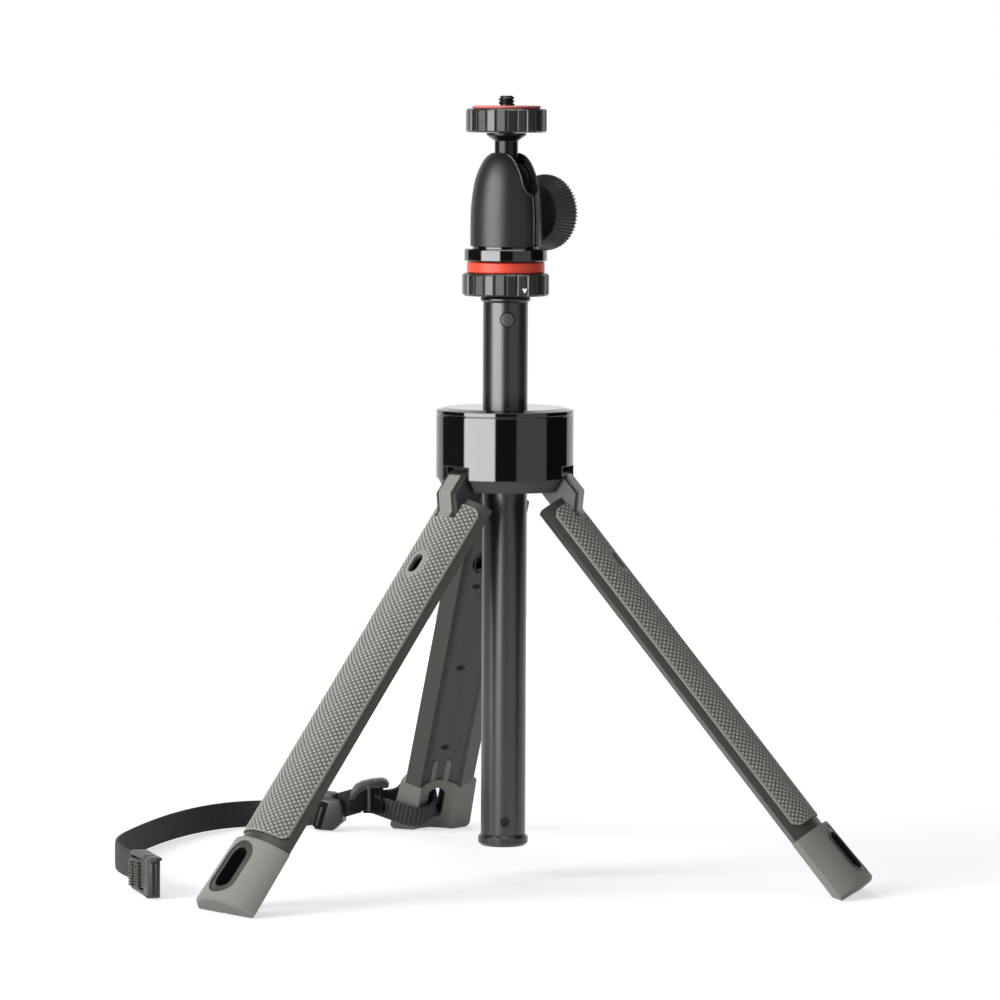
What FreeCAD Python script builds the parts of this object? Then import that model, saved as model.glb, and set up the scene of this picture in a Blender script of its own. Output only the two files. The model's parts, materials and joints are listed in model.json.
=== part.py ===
import FreeCAD, Part
import math
import os

# A telescoping tripod: three folding legs round a hub, a four-section pole and a ball head.
# Millimetres, +Z up. The origin is on the floor, on the pole's axis. The front faces -Y.

V = FreeCAD.Vector
Y_AXIS, Z_AXIS = V(0, 1, 0), V(0, 0, 1)
ORIGIN = V(0, 0, 0)

# Clearances
FIT = 0.05            # between two pieces that are fixed together, each side
RUN = 0.06            # radial, between a pin or spigot and what turns on it
SLIDE = 0.08          # radial, between a slider and the tube it runs in
GAP = 0.3             # between faces that move past each other

# Legs, in a leg's folded position: radii from the pole's axis, lengths down from the hinge
LEG_COUNT = 3
LEG_TURN = 17.5       # direction of the right leg, from +X towards the front
LEG_SPREAD = 39.5     # angle of an open leg from the vertical
LEG_LENGTH = 204.0    # hinge to the end of the foot
SHELL_R = 16.8
GRIP_PROUD = 0.4
RIB_PROUD = 5.2       # the yoke's rib over the grip
HINGE_IN = 3.9        # the hinge axis inside the rib
SHELL_WALL = 1.8
SHELL_TOP = 13.6
CHANNEL_R = 10.15
LINER_WALL = 1.6
LEG_GAP = 0.3         # from a leg's side to the plane between two folded legs
END_WALL = 3.0
FOOT_LENGTH = 28.6
FOOT_PROUD, FOOT_FLARE = 2.0, 1.1
FOOT_ROUND = 1.2
FOOT_INNER_R = 9.4
SOLE_CUT = 2.6        # height of the foot's deepest corner that the flat sole takes away
GRIP_RECESS = 0.8
GRIP_HALF_ANGLE = 47.0
GRIP_TOP = 16.4
GRIP_FOOT_GAP = 4.0
GRIP_CORNER = 3.0
LEG_HOLE_AT = 46.0
LEG_HOLE_LENGTH, LEG_HOLE_WIDTH = 8.4, 4.8
WINDOW_AT = 49.2
WINDOW_LENGTH, WINDOW_WIDTH = 8.8, 6.4
SCREW_FIRST, SCREW_TO_BOOT = 62.0, 19.4
LEG_SCREW_COUNT = 3
SCREW_TIP_GAP = 0.4   # from a leg screw's tip to the shell's inside
LEG_SCREW_R, LEG_SCREW_HEAD_R, LEG_SCREW_HEAD = 0.8, 1.6, 0.8
BOSS_R = 2.2
SLOT_FROM_END = 15.0
SLOT_LENGTH, SLOT_WIDTH = 18.0, 7.2
SLOT_RIM_LENGTH, SLOT_RIM_WIDTH, SLOT_RIM_DEPTH = 24.0, 13.4, 1.0
TONGUE_LENGTH, TONGUE_WIDTH, TONGUE_AT, TONGUE_RISE = 12.0, 2.2, 2.8, 0.4

# Hinge yokes
YOKE_WIDTH = 11.3
RIB_WIDTH = 6.8
RIB_RISE = 1.1
RIB_OVERLAP = 1.4     # of the rib on the web behind it
RIB_TOP, RIB_KNEE = 7.4, 15.9
YOKE_INNER_R = 10.4
YOKE_END = 23.3
LUG_R = 4.2
PIN_R = 1.5
PIN_LENGTH = 20.0
TANG_TO_LINER, TANG_TO_WALL = 0.25, 0.7
TANG_WIDTH, TANG_LENGTH = 8.0, 11.0

# Hub, heights from the hinge axis
HUB_PROUD = 4.5       # over the yokes' ribs
HUB_WALL = 1.4
HUB_TOP, LID_SEAM = 22.1, 19.2
LID_SLOPE_DOWN, LID_SLOPE_IN = 0.9, 3.6
LID_SPIGOT, LID_GROOVE = 1.0, 0.35
BAND_BOTTOM, HUB_BOTTOM = -5.3, -10.1
NOTCH_TOP, NOTCH_WIDTH = -0.2, 15.0
SKIRT_STEP, SKIRT_TAPER, SKIRT_FLOOR = 0.6, 2.5, 1.5
CORE_SLOT_TOP = 5.2
CORE_RIM = 4.4        # the core's pocket inside the hub's outside
CORE_POCKET_INNER_R, CORE_POCKET_BOTTOM = 11.5, 8.0
HUB_SCREW_IN = 7.4    # the hub's screws inside its outside
HUB_SCREW_R, HUB_SCREW_HEAD_R, HUB_SCREW_HEAD, HUB_SCREW_LENGTH = 1.0, 1.9, 1.0, 12.0

# Pole: four tubes, outermost first
OUTER_TUBE_R, SECOND_TUBE_R, THIRD_TUBE_R, TOP_TUBE_R = 8.75, 6.5, 5.2, 4.0
TUBE_WALL = 0.55
POLE_BOTTOM = 17.5
POLE_TOP = 226.6
NECK_LENGTH = 6.0
FOOT_STEP = 2.0       # between the lower ends of two neighbouring tubes
SLIDER_LENGTH, SLIDER_DROP, SLIDER_LIP = 14.0, 1.0, 0.6
CAP_R, CAP_FLANGE, CAP_PLUG = 9.8, 4.4, 12.0
CAP_ROUND = 1.1
CAP_PIN_AT, CAP_PIN_R, CAP_PIN_LENGTH = 5.5, 1.9, 3.0
COLLAR_R, COLLAR_FLANGE, COLLAR_DEPTH = 9.8, 2.2, 18.0
COLLAR_ROUND = 0.73
POLE_TURN = 5.0       # the button and the cap's pin face this far right of the front
BUTTON_BELOW_TOP, BUTTON_R, BUTTON_FLANGE_R = 6.6, 2.6, 3.3
BUTTON_PROUD, BUTTON_FLANGE = 0.35, 0.4
SPRING_STRIP, SPRING_WIDTH, SPRING_HEIGHT = 0.15, 2.4, 9.0

# Head, heights from the top of the pole's collar
LOCK_R, LOCK_BORE_R, LOCK_HEIGHT = 17.0, 11.0, 8.8
LOCK_RIBS, LOCK_ROUND = 24, 0.8
LOCK_RECESS_WIDTH, LOCK_RECESS_HEIGHT = 1.5, 1.4
CLIP_REACH, CLIP_DEPTH = 1.1, 1.0
CLIP_LOW, CLIP_HIGH, CLIP_OPENING = 0.4, 1.0, 4.0
TUBE_SEAT = 2.0       # from the head base's bore to the top of the lock ring
ACCENT_R, ACCENT_HEIGHT, ACCENT_WALL, ACCENT_ROUND = 15.2, 4.3, 2.6, 0.5
PAN_RING_R, PAN_RING_HEIGHT, PAN_RING_ROUND = 16.2, 5.0, 0.5
PAN_BOSS_R = 8.0
PAN_BOLT_R, PAN_BOLT_HEAD_R, PAN_BOLT_HEAD, PAN_BOLT_SOCKET_R = 2.5, 4.5, 2.6, 1.6
PAN_BOLT_TIP, PAN_BOLT_SOCKET_FLOOR = 0.2, 1.0
PAN_WASHER_R, PAN_WASHER_THICK = 9.8, 0.6
HOUSING_SCREW_AT, HOUSING_SCREW_LENGTH = 12.1, 9.0
HOUSING_SCREW_R, HOUSING_SCREW_HEAD_R, HOUSING_SCREW_HEAD = 0.9, 1.6, 1.2
GROOVE_R, GROOVE_HEIGHT = 13.0, 0.9
DOME_R, DOME_HEIGHT, DOME_STRAIGHT = 13.9, 36.3, 9.0
DOME_SHOULDER_R, DOME_SHOULDER_AT = 12.75, 23.0
DOME_CROWN_R, DOME_CROWN_AT = 9.3, 32.7
DOME_TOP_R, DOME_MOUTH_R = 5.7, 5.3
BALL_R, BALL_AT = 9.5, 24.7
LINER_THICKNESS = 0.8
LINER_BELOW, LINER_ABOVE = 6.5, 7.4
STEM_SEAT = 5.5
STEM_R = 4.55
SLOT_CLEARANCE = 0.25
HEAD_SLOT_TURN = 35.0  # the drop slot faces this far to the front of +X
SLIT = 1.6
CLAMP_SCREW_R, CLAMP_BELOW_BALL = 2.0, 12.0
PAD_HALF_WIDTH, PAD_REACH, PAD_HEIGHT, PAD_ROUND = 6.4, 17.4, 21.0, 1.6
KNOB_NEAR, KNOB_FAR, KNOB_END = 18.6, 27.0, 29.0
KNOB_NEAR_R, KNOB_R, KNOB_END_R = 11.6, 14.5, 13.4
KNOB_COLLAR_R, KNOB_HOLLOW, KNOB_RIM = 3.6, 1.0, 1.2
KNOB_FLOOR = 1.0      # between the clamp screw's end and the rim's far edge
NUT_ACROSS, NUT_HEIGHT, NUT_IN = 7.0, 3.2, 1.0
CONE_AT, CONE_R, CONE_HEIGHT, CONE_SHARE = 16.3, 7.8, 3.0, 0.75
DISC_AT, DISC_R, DISC_HEIGHT, DISC_ROUND = 19.6, 15.8, 9.2, 0.7
DISC_FACETS = 24
GRIP_GROOVE, GRIP_GROOVE_SHARE = 0.7, 0.15
PAD_R, PAD_THICKNESS, PAD_EDGE = 13.4, 1.2, 0.4
CAMERA_SCREW_R, CAMERA_SCREW_PROUD = 3.175, 3.9
SCREW_SHANK_R, SCREW_SUNK, SCREW_TIP = 3.0, 12.0, 0.5

# Strap: its width stands on edge
STRAP_WIDTH, STRAP_THICK = 11.0, 1.3
STRAP_ROUTE = [
    (-59.0, 127.2, 13.2), (-67.0, 126.8, 11.0), (-78.0, 129.0, 7.4), (-90.0, 134.5, 6.0),
    (-103.0, 137.0, 5.8), (-115.0, 131.0, 5.8), (-125.5, 118.5, 5.8), (-134.5, 101.0, 5.8),
    (-142.0, 80.0, 5.8), (-148.5, 56.0, 5.8), (-153.3, 32.0, 6.0), (-153.4, 11.5, 6.5),
    (-150.2, -5.5, 7.1), (-145.3, -20.5, 7.5), (-140.9, -34.5, 7.8),
]
# The loop through the rear foot, in the leg's section: outwards, to the left
LOOP_ROUTE = [
    (14.6, 23.2), (13.8, 16.6), (20.9, 11.2), (22.6, 0.6), (14.1, -0.9), (7.9, 0.3),
    (3.2, 7.6), (8.0, 17.6), (12.3, 23.2),
]
LOOP_FROM_END = 12.2
CLIP_SIZE = (14.0, 9.4, 11.2)
CLIP_AT = (-56.6, 126.6, 13.8)
# Side views about a piece's middle, along the strap and up
CLIP_CAP = [
    (-7.6, -0.4), (-6.9, 2.9), (-5.1, 5.5), (-2.4, 6.9), (1.6, 7.9), (5.6, 8.3), (7.6, 8.0),
    (9.0, 6.6), (7.2, 5.4), (3.0, 5.2), (-1.0, 4.4), (-3.9, 2.8), (-5.3, 0.6), (-5.9, -0.4),
]
SLIDER_SIDE = [
    (-5.6, -7.2), (-3.8, 4.4), (-2.6, 5.2), (-2.4, 8.2), (2.6, 7.7), (3.4, 5.2), (5.6, 5.0),
    (6.6, 1.9), (5.6, -4.4), (2.4, -7.6),
]
SLIDER_THICK, SLIDER_MIDDLE = 8.0, 8.0
SLIDER_RUN = 1
BUCKLE_LENGTH, BUCKLE_THICK, BUCKLE_HEIGHT = 31.0, 6.4, 15.0
BUCKLE_WALL = 1.7
BUCKLE_BOX_AT = 21.6
LEVER_PIN_AT, LEVER_PIN_SIDE, LEVER_PIN_R, LEVER_HUB_R = 17.4, -0.6, 1.1, 1.9
LEVER_TIP_AT, LEVER_THICK, LEVER_PROUD = 4.0, 2.0, 0.6

# Worked-out places
GRIP_R = SHELL_R + GRIP_PROUD
FOOT_R = SHELL_R + FOOT_PROUD
FOOT_END_R = FOOT_R + FOOT_FLARE
RIB_R = GRIP_R + RIB_PROUD
HINGE_R = RIB_R - HINGE_IN
HUB_R = RIB_R + HUB_PROUD
SKIRT_TOP_R = HUB_R - SKIRT_STEP
SKIRT_BOTTOM_R = SKIRT_TOP_R - SKIRT_TAPER
CORE_POCKET_OUTER_R = HUB_R - CORE_RIM
HUB_SCREW_AT = HUB_R - HUB_SCREW_IN
TANG_INNER_R = CHANNEL_R + LINER_WALL + TANG_TO_LINER
TANG_OUTER_R = SHELL_R - SHELL_WALL - TANG_TO_WALL
SLOT_AT = LEG_LENGTH - SLOT_FROM_END
LOOP_AT = LEG_LENGTH - LOOP_FROM_END
SPREAD = math.radians(LEG_SPREAD)
LEG_HALF = math.radians(180.0 / LEG_COUNT)
HINGE_Z = (
    LEG_LENGTH * math.cos(SPREAD)
    + (HINGE_R - CHANNEL_R * math.cos(LEG_HALF)) * math.sin(SPREAD)
    - SOLE_CUT
)
BOOT_AT = LEG_LENGTH - FOOT_LENGTH
SCREW_PITCH = (BOOT_AT - SCREW_TO_BOOT - SCREW_FIRST) / (LEG_SCREW_COUNT - 1)
SPIGOT_END = LEG_LENGTH - FOOT_LENGTH / 4
HEAD_Z = POLE_TOP + COLLAR_FLANGE
LOCK_Z = HEAD_Z + GAP
ACCENT_Z = LOCK_Z + LOCK_HEIGHT + GAP / 2
PAN_Z = ACCENT_Z + ACCENT_HEIGHT + GAP / 2
GROOVE_Z = PAN_Z + PAN_RING_HEIGHT
DOME_Z = GROOVE_Z + GROOVE_HEIGHT
BALL_Z = DOME_Z + BALL_AT
CLAMP_Z = BALL_Z - CLAMP_BELOW_BALL
DISC_Z = BALL_Z + DISC_AT
DISC_TOP = DISC_Z + DISC_HEIGHT
TUBE_RADII = [OUTER_TUBE_R, SECOND_TUBE_R, THIRD_TUBE_R, TOP_TUBE_R]
BORE_RADII = [r - TUBE_WALL for r in TUBE_RADII]


def rod(radius, z0, z1):
    """An upright cylinder on the pole's axis, between two heights."""
    return Part.makeCylinder(radius, z1 - z0, V(0, 0, z0))


def ring(outer, inner, z0, z1):
    """An upright tube on the pole's axis."""
    return rod(outer, z0, z1).cut(rod(inner, z0 - 1, z1 + 1))


def bar(radius, start, direction, length):
    """A cylinder from a point along a direction."""
    return Part.makeCylinder(radius, length, V(*start), V(*direction))


def block(x0, x1, y0, y1, z0, z1):
    """A box between two corners."""
    return Part.makeBox(x1 - x0, y1 - y0, z1 - z0, V(x0, y0, z0))


def turned(points):
    """The solid that an outline of (radius, height) points makes round the pole's axis."""
    wire = Part.makePolygon([V(r, 0, z) for r, z in points + points[:1]])
    return Part.Face(wire).revolve(ORIGIN, Z_AXIS, 360)


def prism(points, start, direction):
    """The solid that a closed outline of points makes when it is moved along a direction."""
    wire = Part.makePolygon([start + p for p in points + points[:1]])
    return Part.Face(wire).extrude(direction)


def joined(shapes):
    """One solid from pieces that overlap or touch."""
    first, rest = shapes[0], shapes[1:]
    return first.multiFuse(rest).removeSplitter() if rest else first


def around(shape, angle, base=ORIGIN, axis=Z_AXIS):
    """A copy of the shape, turned about an axis."""
    copy = shape.copy()
    copy.rotate(base, axis, angle)
    return copy


def obround(length, width, z, depth0, depth1):
    """A slot cutter along X, its long side upright and centred on a height."""
    half, r = length / 2 - width / 2, width / 2
    middle = block(depth0, depth1, -r, r, z - half, z + half)
    ends = [bar(r, (depth0, 0, z + s * half), (1, 0, 0), depth1 - depth0) for s in (-1, 1)]
    return joined([middle] + ends)


def below(length):
    """The height that lies this far below the hinge axis."""
    return HINGE_Z - length


def leg_directions():
    """Angle about +Z of each leg: right, left and rear."""
    return [-(LEG_TURN + 360.0 / LEG_COUNT * k) for k in range(LEG_COUNT)]


def opened(shape, k):
    """A piece of leg k, moved from the folded position about +X to the open one."""
    copy = around(shape, -LEG_SPREAD, V(HINGE_R, 0, HINGE_Z), Y_AXIS)
    return around(copy, leg_directions()[k])


def sector(outer, inner, gap, top, bottom):
    """One leg's share of a ring round the pole, a gap short of the planes between legs."""
    def corner(r, side):
        angle = side * (LEG_HALF - math.asin(gap / r))
        return V(r * math.cos(angle), r * math.sin(angle), below(bottom))
    z = below(bottom)
    wire = Part.Wire([
        Part.Arc(corner(outer, -1), V(outer, 0, z), corner(outer, 1)).toShape(),
        Part.makeLine(corner(outer, 1), corner(inner, 1)),
        Part.Arc(corner(inner, 1), V(inner, 0, z), corner(inner, -1)).toShape(),
        Part.makeLine(corner(inner, -1), corner(outer, -1)),
    ])
    return Part.Face(wire).extrude(V(0, 0, bottom - top))


def leg_screw_places():
    """Distance below the hinge of each screw in the channel's floor."""
    return [SCREW_FIRST + SCREW_PITCH * i for i in range(LEG_SCREW_COUNT)]


def leg_shell():
    """The hollow leg: outer wall, side walls, ends, screw bosses and the foot's spigot."""
    body = sector(SHELL_R, CHANNEL_R, LEG_GAP, SHELL_TOP, BOOT_AT)
    hollow = sector(
        SHELL_R - SHELL_WALL, CHANNEL_R - 1, LEG_GAP + SHELL_WALL,
        SHELL_TOP + SHELL_WALL, BOOT_AT - END_WALL,
    )
    spigot = sector(
        SHELL_R - SHELL_WALL, CHANNEL_R + LINER_WALL / 2, LEG_GAP + SHELL_WALL,
        BOOT_AT - END_WALL / 2, SPIGOT_END,
    )
    reach = SHELL_R - SHELL_WALL / 2
    inner_end = CHANNEL_R + LINER_WALL + FIT
    bosses = [
        bar(BOSS_R, (inner_end, 0, below(a)), (1, 0, 0), reach - inner_end)
        for a in leg_screw_places()
    ]
    body = joined([body.cut(hollow), spigot] + bosses)
    recess = grip_outline(SHELL_R + 2, 0).cut(rod(SHELL_R - GRIP_RECESS, below(LEG_LENGTH), HINGE_Z))
    half = YOKE_WIDTH / 2 + FIT
    notch = block(CHANNEL_R - 2, SHELL_R + 2, -half, half, below(YOKE_END + FIT), below(0))
    hole = obround(
        LEG_HOLE_LENGTH, LEG_HOLE_WIDTH, below(LEG_HOLE_AT), CHANNEL_R + LINER_WALL, SHELL_R + 2
    )
    slot = obround(
        SLOT_LENGTH + 2 * FIT, SLOT_WIDTH + 2 * FIT, below(SLOT_AT), CHANNEL_R - 2, FOOT_R
    )
    body = body.cut(recess).cut(notch).cut(hole).cut(slot)
    for a in leg_screw_places():
        body = body.cut(
            bar(LEG_SCREW_R + FIT / 2, (CHANNEL_R, 0, below(a)), (1, 0, 0), screw_reach() + FIT)
        )
    return body


def screw_reach():
    """Length of a leg screw, from the channel's floor into its boss."""
    return SHELL_R - SHELL_WALL - CHANNEL_R - SCREW_TIP_GAP


def grip_outline(radius, margin):
    """The rounded sleeve that the rubber grip covers, out to a radius."""
    wide = GRIP_R * math.sin(math.radians(GRIP_HALF_ANGLE)) + margin
    top, bottom = below(GRIP_TOP - margin), below(BOOT_AT - GRIP_FOOT_GAP + margin)
    plate = block(0, radius + 1, -wide, wide, bottom, top)
    edges = [e for e in plate.Edges if abs(e.tangentAt(e.FirstParameter).x) > 0.99]
    plate = plate.makeFillet(GRIP_CORNER, edges)
    return plate.common(rod(radius, bottom - 1, top + 1))


def leg_grip():
    """The thin rubber cover, seated in the shell's recess."""
    sleeve = grip_outline(GRIP_R, -FIT).cut(rod(SHELL_R - GRIP_RECESS + FIT, below(LEG_LENGTH), HINGE_Z))
    half = YOKE_WIDTH / 2 + 2 * FIT
    notch = block(0, GRIP_R + 2, -half, half, below(YOKE_END + 2 * FIT), below(0))
    hole = obround(
        LEG_HOLE_LENGTH, LEG_HOLE_WIDTH, below(LEG_HOLE_AT), CHANNEL_R, GRIP_R + 2
    )
    return sleeve.cut(notch).cut(hole)


def leg_liner():
    """The channel's floor, which the pole lies in when the leg is folded."""
    plate = sector(
        CHANNEL_R + LINER_WALL, CHANNEL_R, LEG_GAP + SHELL_WALL + FIT,
        SHELL_TOP + SHELL_WALL + FIT, BOOT_AT - END_WALL - FIT,
    )
    half = YOKE_WIDTH / 2 + FIT
    notch = block(0, SHELL_R, -half, half, below(YOKE_END + FIT), below(0))
    window = obround(
        WINDOW_LENGTH, WINDOW_WIDTH, below(WINDOW_AT), CHANNEL_R - 2, SHELL_R - SHELL_WALL
    )
    plate = plate.cut(notch).cut(window)
    for a in leg_screw_places():
        at = (CHANNEL_R - 1, 0, below(a))
        plate = plate.cut(bar(LEG_SCREW_R + FIT, at, (1, 0, 0), LINER_WALL + 2))
        plate = plate.cut(bar(LEG_SCREW_HEAD_R + FIT, at, (1, 0, 0), LEG_SCREW_HEAD + 1))
    return plate


def leg_screws():
    """The three screws that hold the channel's floor to the shell."""
    solids = []
    for a in leg_screw_places():
        at = (CHANNEL_R + FIT, 0, below(a))
        head = bar(LEG_SCREW_HEAD_R, at, (1, 0, 0), LEG_SCREW_HEAD - FIT)
        shank = bar(LEG_SCREW_R, at, (1, 0, 0), screw_reach())
        solids.append(joined([head, shank]))
    return Part.makeCompound(solids)


def foot_envelope(inset):
    """The turned outside of the foot: it widens downwards and its end is rounded off."""
    z0, z1 = below(LEG_LENGTH), below(BOOT_AT)
    return turned([
        (0, z0), (FOOT_END_R - inset - FOOT_ROUND, z0), (FOOT_END_R - inset, z0 + FOOT_ROUND),
        (FOOT_R - inset, z1), (0, z1),
    ])


def leg_foot(k):
    """The rubber boot with its strap slot. Its inner corner is flat on the floor."""
    envelope = foot_envelope(0)
    body = sector(FOOT_END_R + 1, FOOT_INNER_R, LEG_GAP, BOOT_AT, LEG_LENGTH).common(envelope)
    socket = sector(
        SHELL_R - SHELL_WALL + FIT, CHANNEL_R + LINER_WALL / 2 - FIT, LEG_GAP + SHELL_WALL - FIT,
        BOOT_AT - 1, SPIGOT_END + FIT,
    )
    tongue_ring = ring(
        CHANNEL_R - FIT, CHANNEL_R - TONGUE_RISE, below(BOOT_AT), below(BOOT_AT - TONGUE_LENGTH)
    )
    r = TONGUE_WIDTH / 2
    tongues = []
    for side in (-1, 1):
        y = side * TONGUE_AT
        top = below(BOOT_AT - TONGUE_LENGTH + r)
        strip = block(0, CHANNEL_R, y - r, y + r, below(BOOT_AT), top)
        tip = bar(r, (0, y, top), (1, 0, 0), CHANNEL_R)
        tongues.append(tongue_ring.common(joined([strip, tip])))
    slot = obround(SLOT_LENGTH, SLOT_WIDTH, below(SLOT_AT), FOOT_INNER_R - 3, FOOT_END_R + 2)
    rim = obround(SLOT_RIM_LENGTH, SLOT_RIM_WIDTH, below(SLOT_AT), 0, FOOT_END_R + 2)
    rim = rim.cut(foot_envelope(SLOT_RIM_DEPTH))
    body = joined([body.cut(socket)] + tongues).cut(slot).cut(rim)
    foot = opened(body, k)
    under = FOOT_R + LEG_LENGTH
    return foot.cut(block(-under, under, -under, under, -FOOT_R, 0))


def leg_yoke():
    """The hinge bracket: a web with a raised outer rib, a lug and a tang in the shell."""
    def plate(points, width):
        outline = [V(u, 0, below(a)) for u, a in points]
        return prism(outline, V(0, -width / 2, 0), V(0, width, 0))
    web_r = RIB_R - RIB_RISE
    drop = RIB_R - GRIP_R
    web = plate([
        (YOKE_INNER_R, YOKE_END), (YOKE_INNER_R, RIB_TOP), (HINGE_R - LUG_R, 0), (HINGE_R, 0),
        (web_r, RIB_TOP - RIB_OVERLAP), (web_r, RIB_KNEE), (web_r - drop, RIB_KNEE + drop),
        (web_r - drop, YOKE_END),
    ], YOKE_WIDTH)
    rib = plate([
        (web_r - drop, YOKE_END), (web_r - drop, RIB_KNEE + drop),
        (web_r - RIB_OVERLAP, RIB_KNEE - RIB_OVERLAP / 2),
        (web_r - RIB_OVERLAP, RIB_TOP), (RIB_R, RIB_TOP), (RIB_R, RIB_KNEE), (GRIP_R, RIB_KNEE + drop),
        (GRIP_R, YOKE_END),
    ], RIB_WIDTH)
    lug = bar(LUG_R, (HINGE_R, -YOKE_WIDTH / 2, HINGE_Z), (0, 1, 0), YOKE_WIDTH)
    half = TANG_WIDTH / 2
    tang = block(
        TANG_INNER_R, TANG_OUTER_R, -half, half, below(YOKE_END + TANG_LENGTH), below(YOKE_END - 1)
    )
    bore = bar(PIN_R + RUN, (HINGE_R, -YOKE_WIDTH, HINGE_Z), (0, 1, 0), 2 * YOKE_WIDTH)
    return joined([web, rib, lug, tang]).cut(bore)


def at_legs(cutter):
    """The same cutter, once for each leg's direction."""
    return [around(cutter, angle) for angle in leg_directions()]


def hub_shell():
    """The gloss band round the hub, with a notch for each leg."""
    z0, z1 = HINGE_Z + BAND_BOTTOM, HINGE_Z + LID_SEAM
    body = ring(HUB_R, HUB_R - HUB_WALL, z0, z1)
    half = NOTCH_WIDTH / 2
    for notch in at_legs(block(0, HUB_R + 2, -half, half, z0 - 1, HINGE_Z + NOTCH_TOP)):
        body = body.cut(notch)
    return body


def hub_lid():
    """The sloping cap on top of the hub, a fine groove above the gloss band and a spigot inside it."""
    z0, z1 = HINGE_Z + LID_SEAM, HINGE_Z + HUB_TOP
    bore = OUTER_TUBE_R + FIT
    inner = HUB_R - HUB_WALL - FIT
    return turned([
        (bore, z0 - LID_SPIGOT), (inner, z0 - LID_SPIGOT), (inner, z0 + LID_GROOVE),
        (HUB_R, z0 + LID_GROOVE), (HUB_R, z1 - LID_SLOPE_DOWN), (HUB_R - LID_SLOPE_IN, z1), (bore, z1),
    ])


def hub_core():
    """The inner body, clamped on the outer tube. It carries the hinge pins."""
    z0, z1 = HINGE_Z + HUB_BOTTOM + SKIRT_FLOOR + FIT, HINGE_Z + LID_SEAM - LID_SPIGOT - FIT
    outer = HUB_R - HUB_WALL - FIT
    lower = SKIRT_BOTTOM_R - SKIRT_FLOOR - FIT
    step = HINGE_Z + BAND_BOTTOM
    body = turned([
        (OUTER_TUBE_R + FIT, z0), (lower, z0), (lower, step), (outer, step), (outer, z1),
        (OUTER_TUBE_R + FIT, z1),
    ])
    pocket = ring(CORE_POCKET_OUTER_R, CORE_POCKET_INNER_R, HINGE_Z + CORE_POCKET_BOTTOM, z1 + 1)
    body = body.cut(pocket)
    half = YOKE_WIDTH / 2 + GAP
    slot = block(YOKE_INNER_R - GAP, HUB_R, -half, half, z0 - 1, HINGE_Z + CORE_SLOT_TOP)
    hole = bar(PIN_R + FIT / 2, (HINGE_R, -PIN_LENGTH / 2 - FIT, HINGE_Z), (0, 1, 0), PIN_LENGTH + 2 * FIT)
    for cutter in at_legs(slot) + at_legs(hole) + hub_screw_bars(FIT):
        body = body.cut(cutter)
    return body


def hub_skirt():
    """The matt ring and floor under the hub."""
    z0, z1 = HINGE_Z + HUB_BOTTOM, HINGE_Z + BAND_BOTTOM - FIT
    core = SKIRT_BOTTOM_R - SKIRT_FLOOR
    body = turned([
        (OUTER_TUBE_R + FIT, z0), (SKIRT_BOTTOM_R, z0), (SKIRT_TOP_R, z1), (core, z1),
        (core, z0 + SKIRT_FLOOR), (OUTER_TUBE_R + FIT, z0 + SKIRT_FLOOR),
    ])
    half = NOTCH_WIDTH / 2
    for notch in at_legs(block(YOKE_INNER_R - GAP, HUB_R, -half, half, z0 - 1, z1 + 1)):
        body = body.cut(notch)
    for cutter in hub_screw_bars(FIT):
        body = body.cut(cutter)
    return body


def hinge_pins():
    """The three steel pins that the legs turn on."""
    pin = bar(PIN_R, (HINGE_R, -PIN_LENGTH / 2, HINGE_Z), (0, 1, 0), PIN_LENGTH)
    return Part.makeCompound(at_legs(pin))


def hub_screw_bars(clearance):
    """The space of the three upright screws between the legs, with a clearance."""
    z0 = HINGE_Z + HUB_BOTTOM
    solids = []
    for angle in leg_directions():
        turn = math.radians(angle + 180.0 / LEG_COUNT)
        at = (HUB_SCREW_AT * math.cos(turn), HUB_SCREW_AT * math.sin(turn))
        head = bar(
            HUB_SCREW_HEAD_R + clearance, (*at, z0 - clearance), (0, 0, 1),
            HUB_SCREW_HEAD + clearance,
        )
        shank = bar(
            HUB_SCREW_R + clearance / 2, (*at, z0), (0, 0, 1), HUB_SCREW_LENGTH + clearance
        )
        solids.append(joined([head, shank]))
    return solids


def end_cap():
    """The plug in the pole's lower end, with a rounded flange."""
    plug_r, plug_top = BORE_RADII[0] - FIT, POLE_BOTTOM + CAP_PLUG
    z1 = POLE_BOTTOM - FIT
    z0 = z1 - CAP_FLANGE
    round_off = CAP_ROUND
    body = turned([
        (0, z0), (CAP_R - round_off, z0), (CAP_R, z0 + round_off), (CAP_R, z1 - round_off),
        (CAP_R - round_off, z1), (plug_r, z1), (plug_r, plug_top), (0, plug_top),
    ])
    pin_end = plug_r - CAP_PIN_LENGTH - FIT
    return body.cut(front_bar(CAP_PIN_R + FIT, pin_end, OUTER_TUBE_R, POLE_BOTTOM + CAP_PIN_AT))


def front_bar(radius, r0, r1, z):
    """A radial cylinder on the side of the pole that the button is on."""
    turn = math.radians(POLE_TURN - 90)
    d = V(math.cos(turn), math.sin(turn), 0)
    start = d * r0 + V(0, 0, z)
    return Part.makeCylinder(radius, r1 - r0, start, d)


def cap_pin():
    """The rivet that holds the end cap. Its end follows the tube's surface."""
    start = BORE_RADII[0] - FIT - CAP_PIN_LENGTH
    pin = front_bar(CAP_PIN_R, start, OUTER_TUBE_R + 1, POLE_BOTTOM + CAP_PIN_AT)
    return pin.common(rod(OUTER_TUBE_R, POLE_BOTTOM, POLE_TOP))


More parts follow.
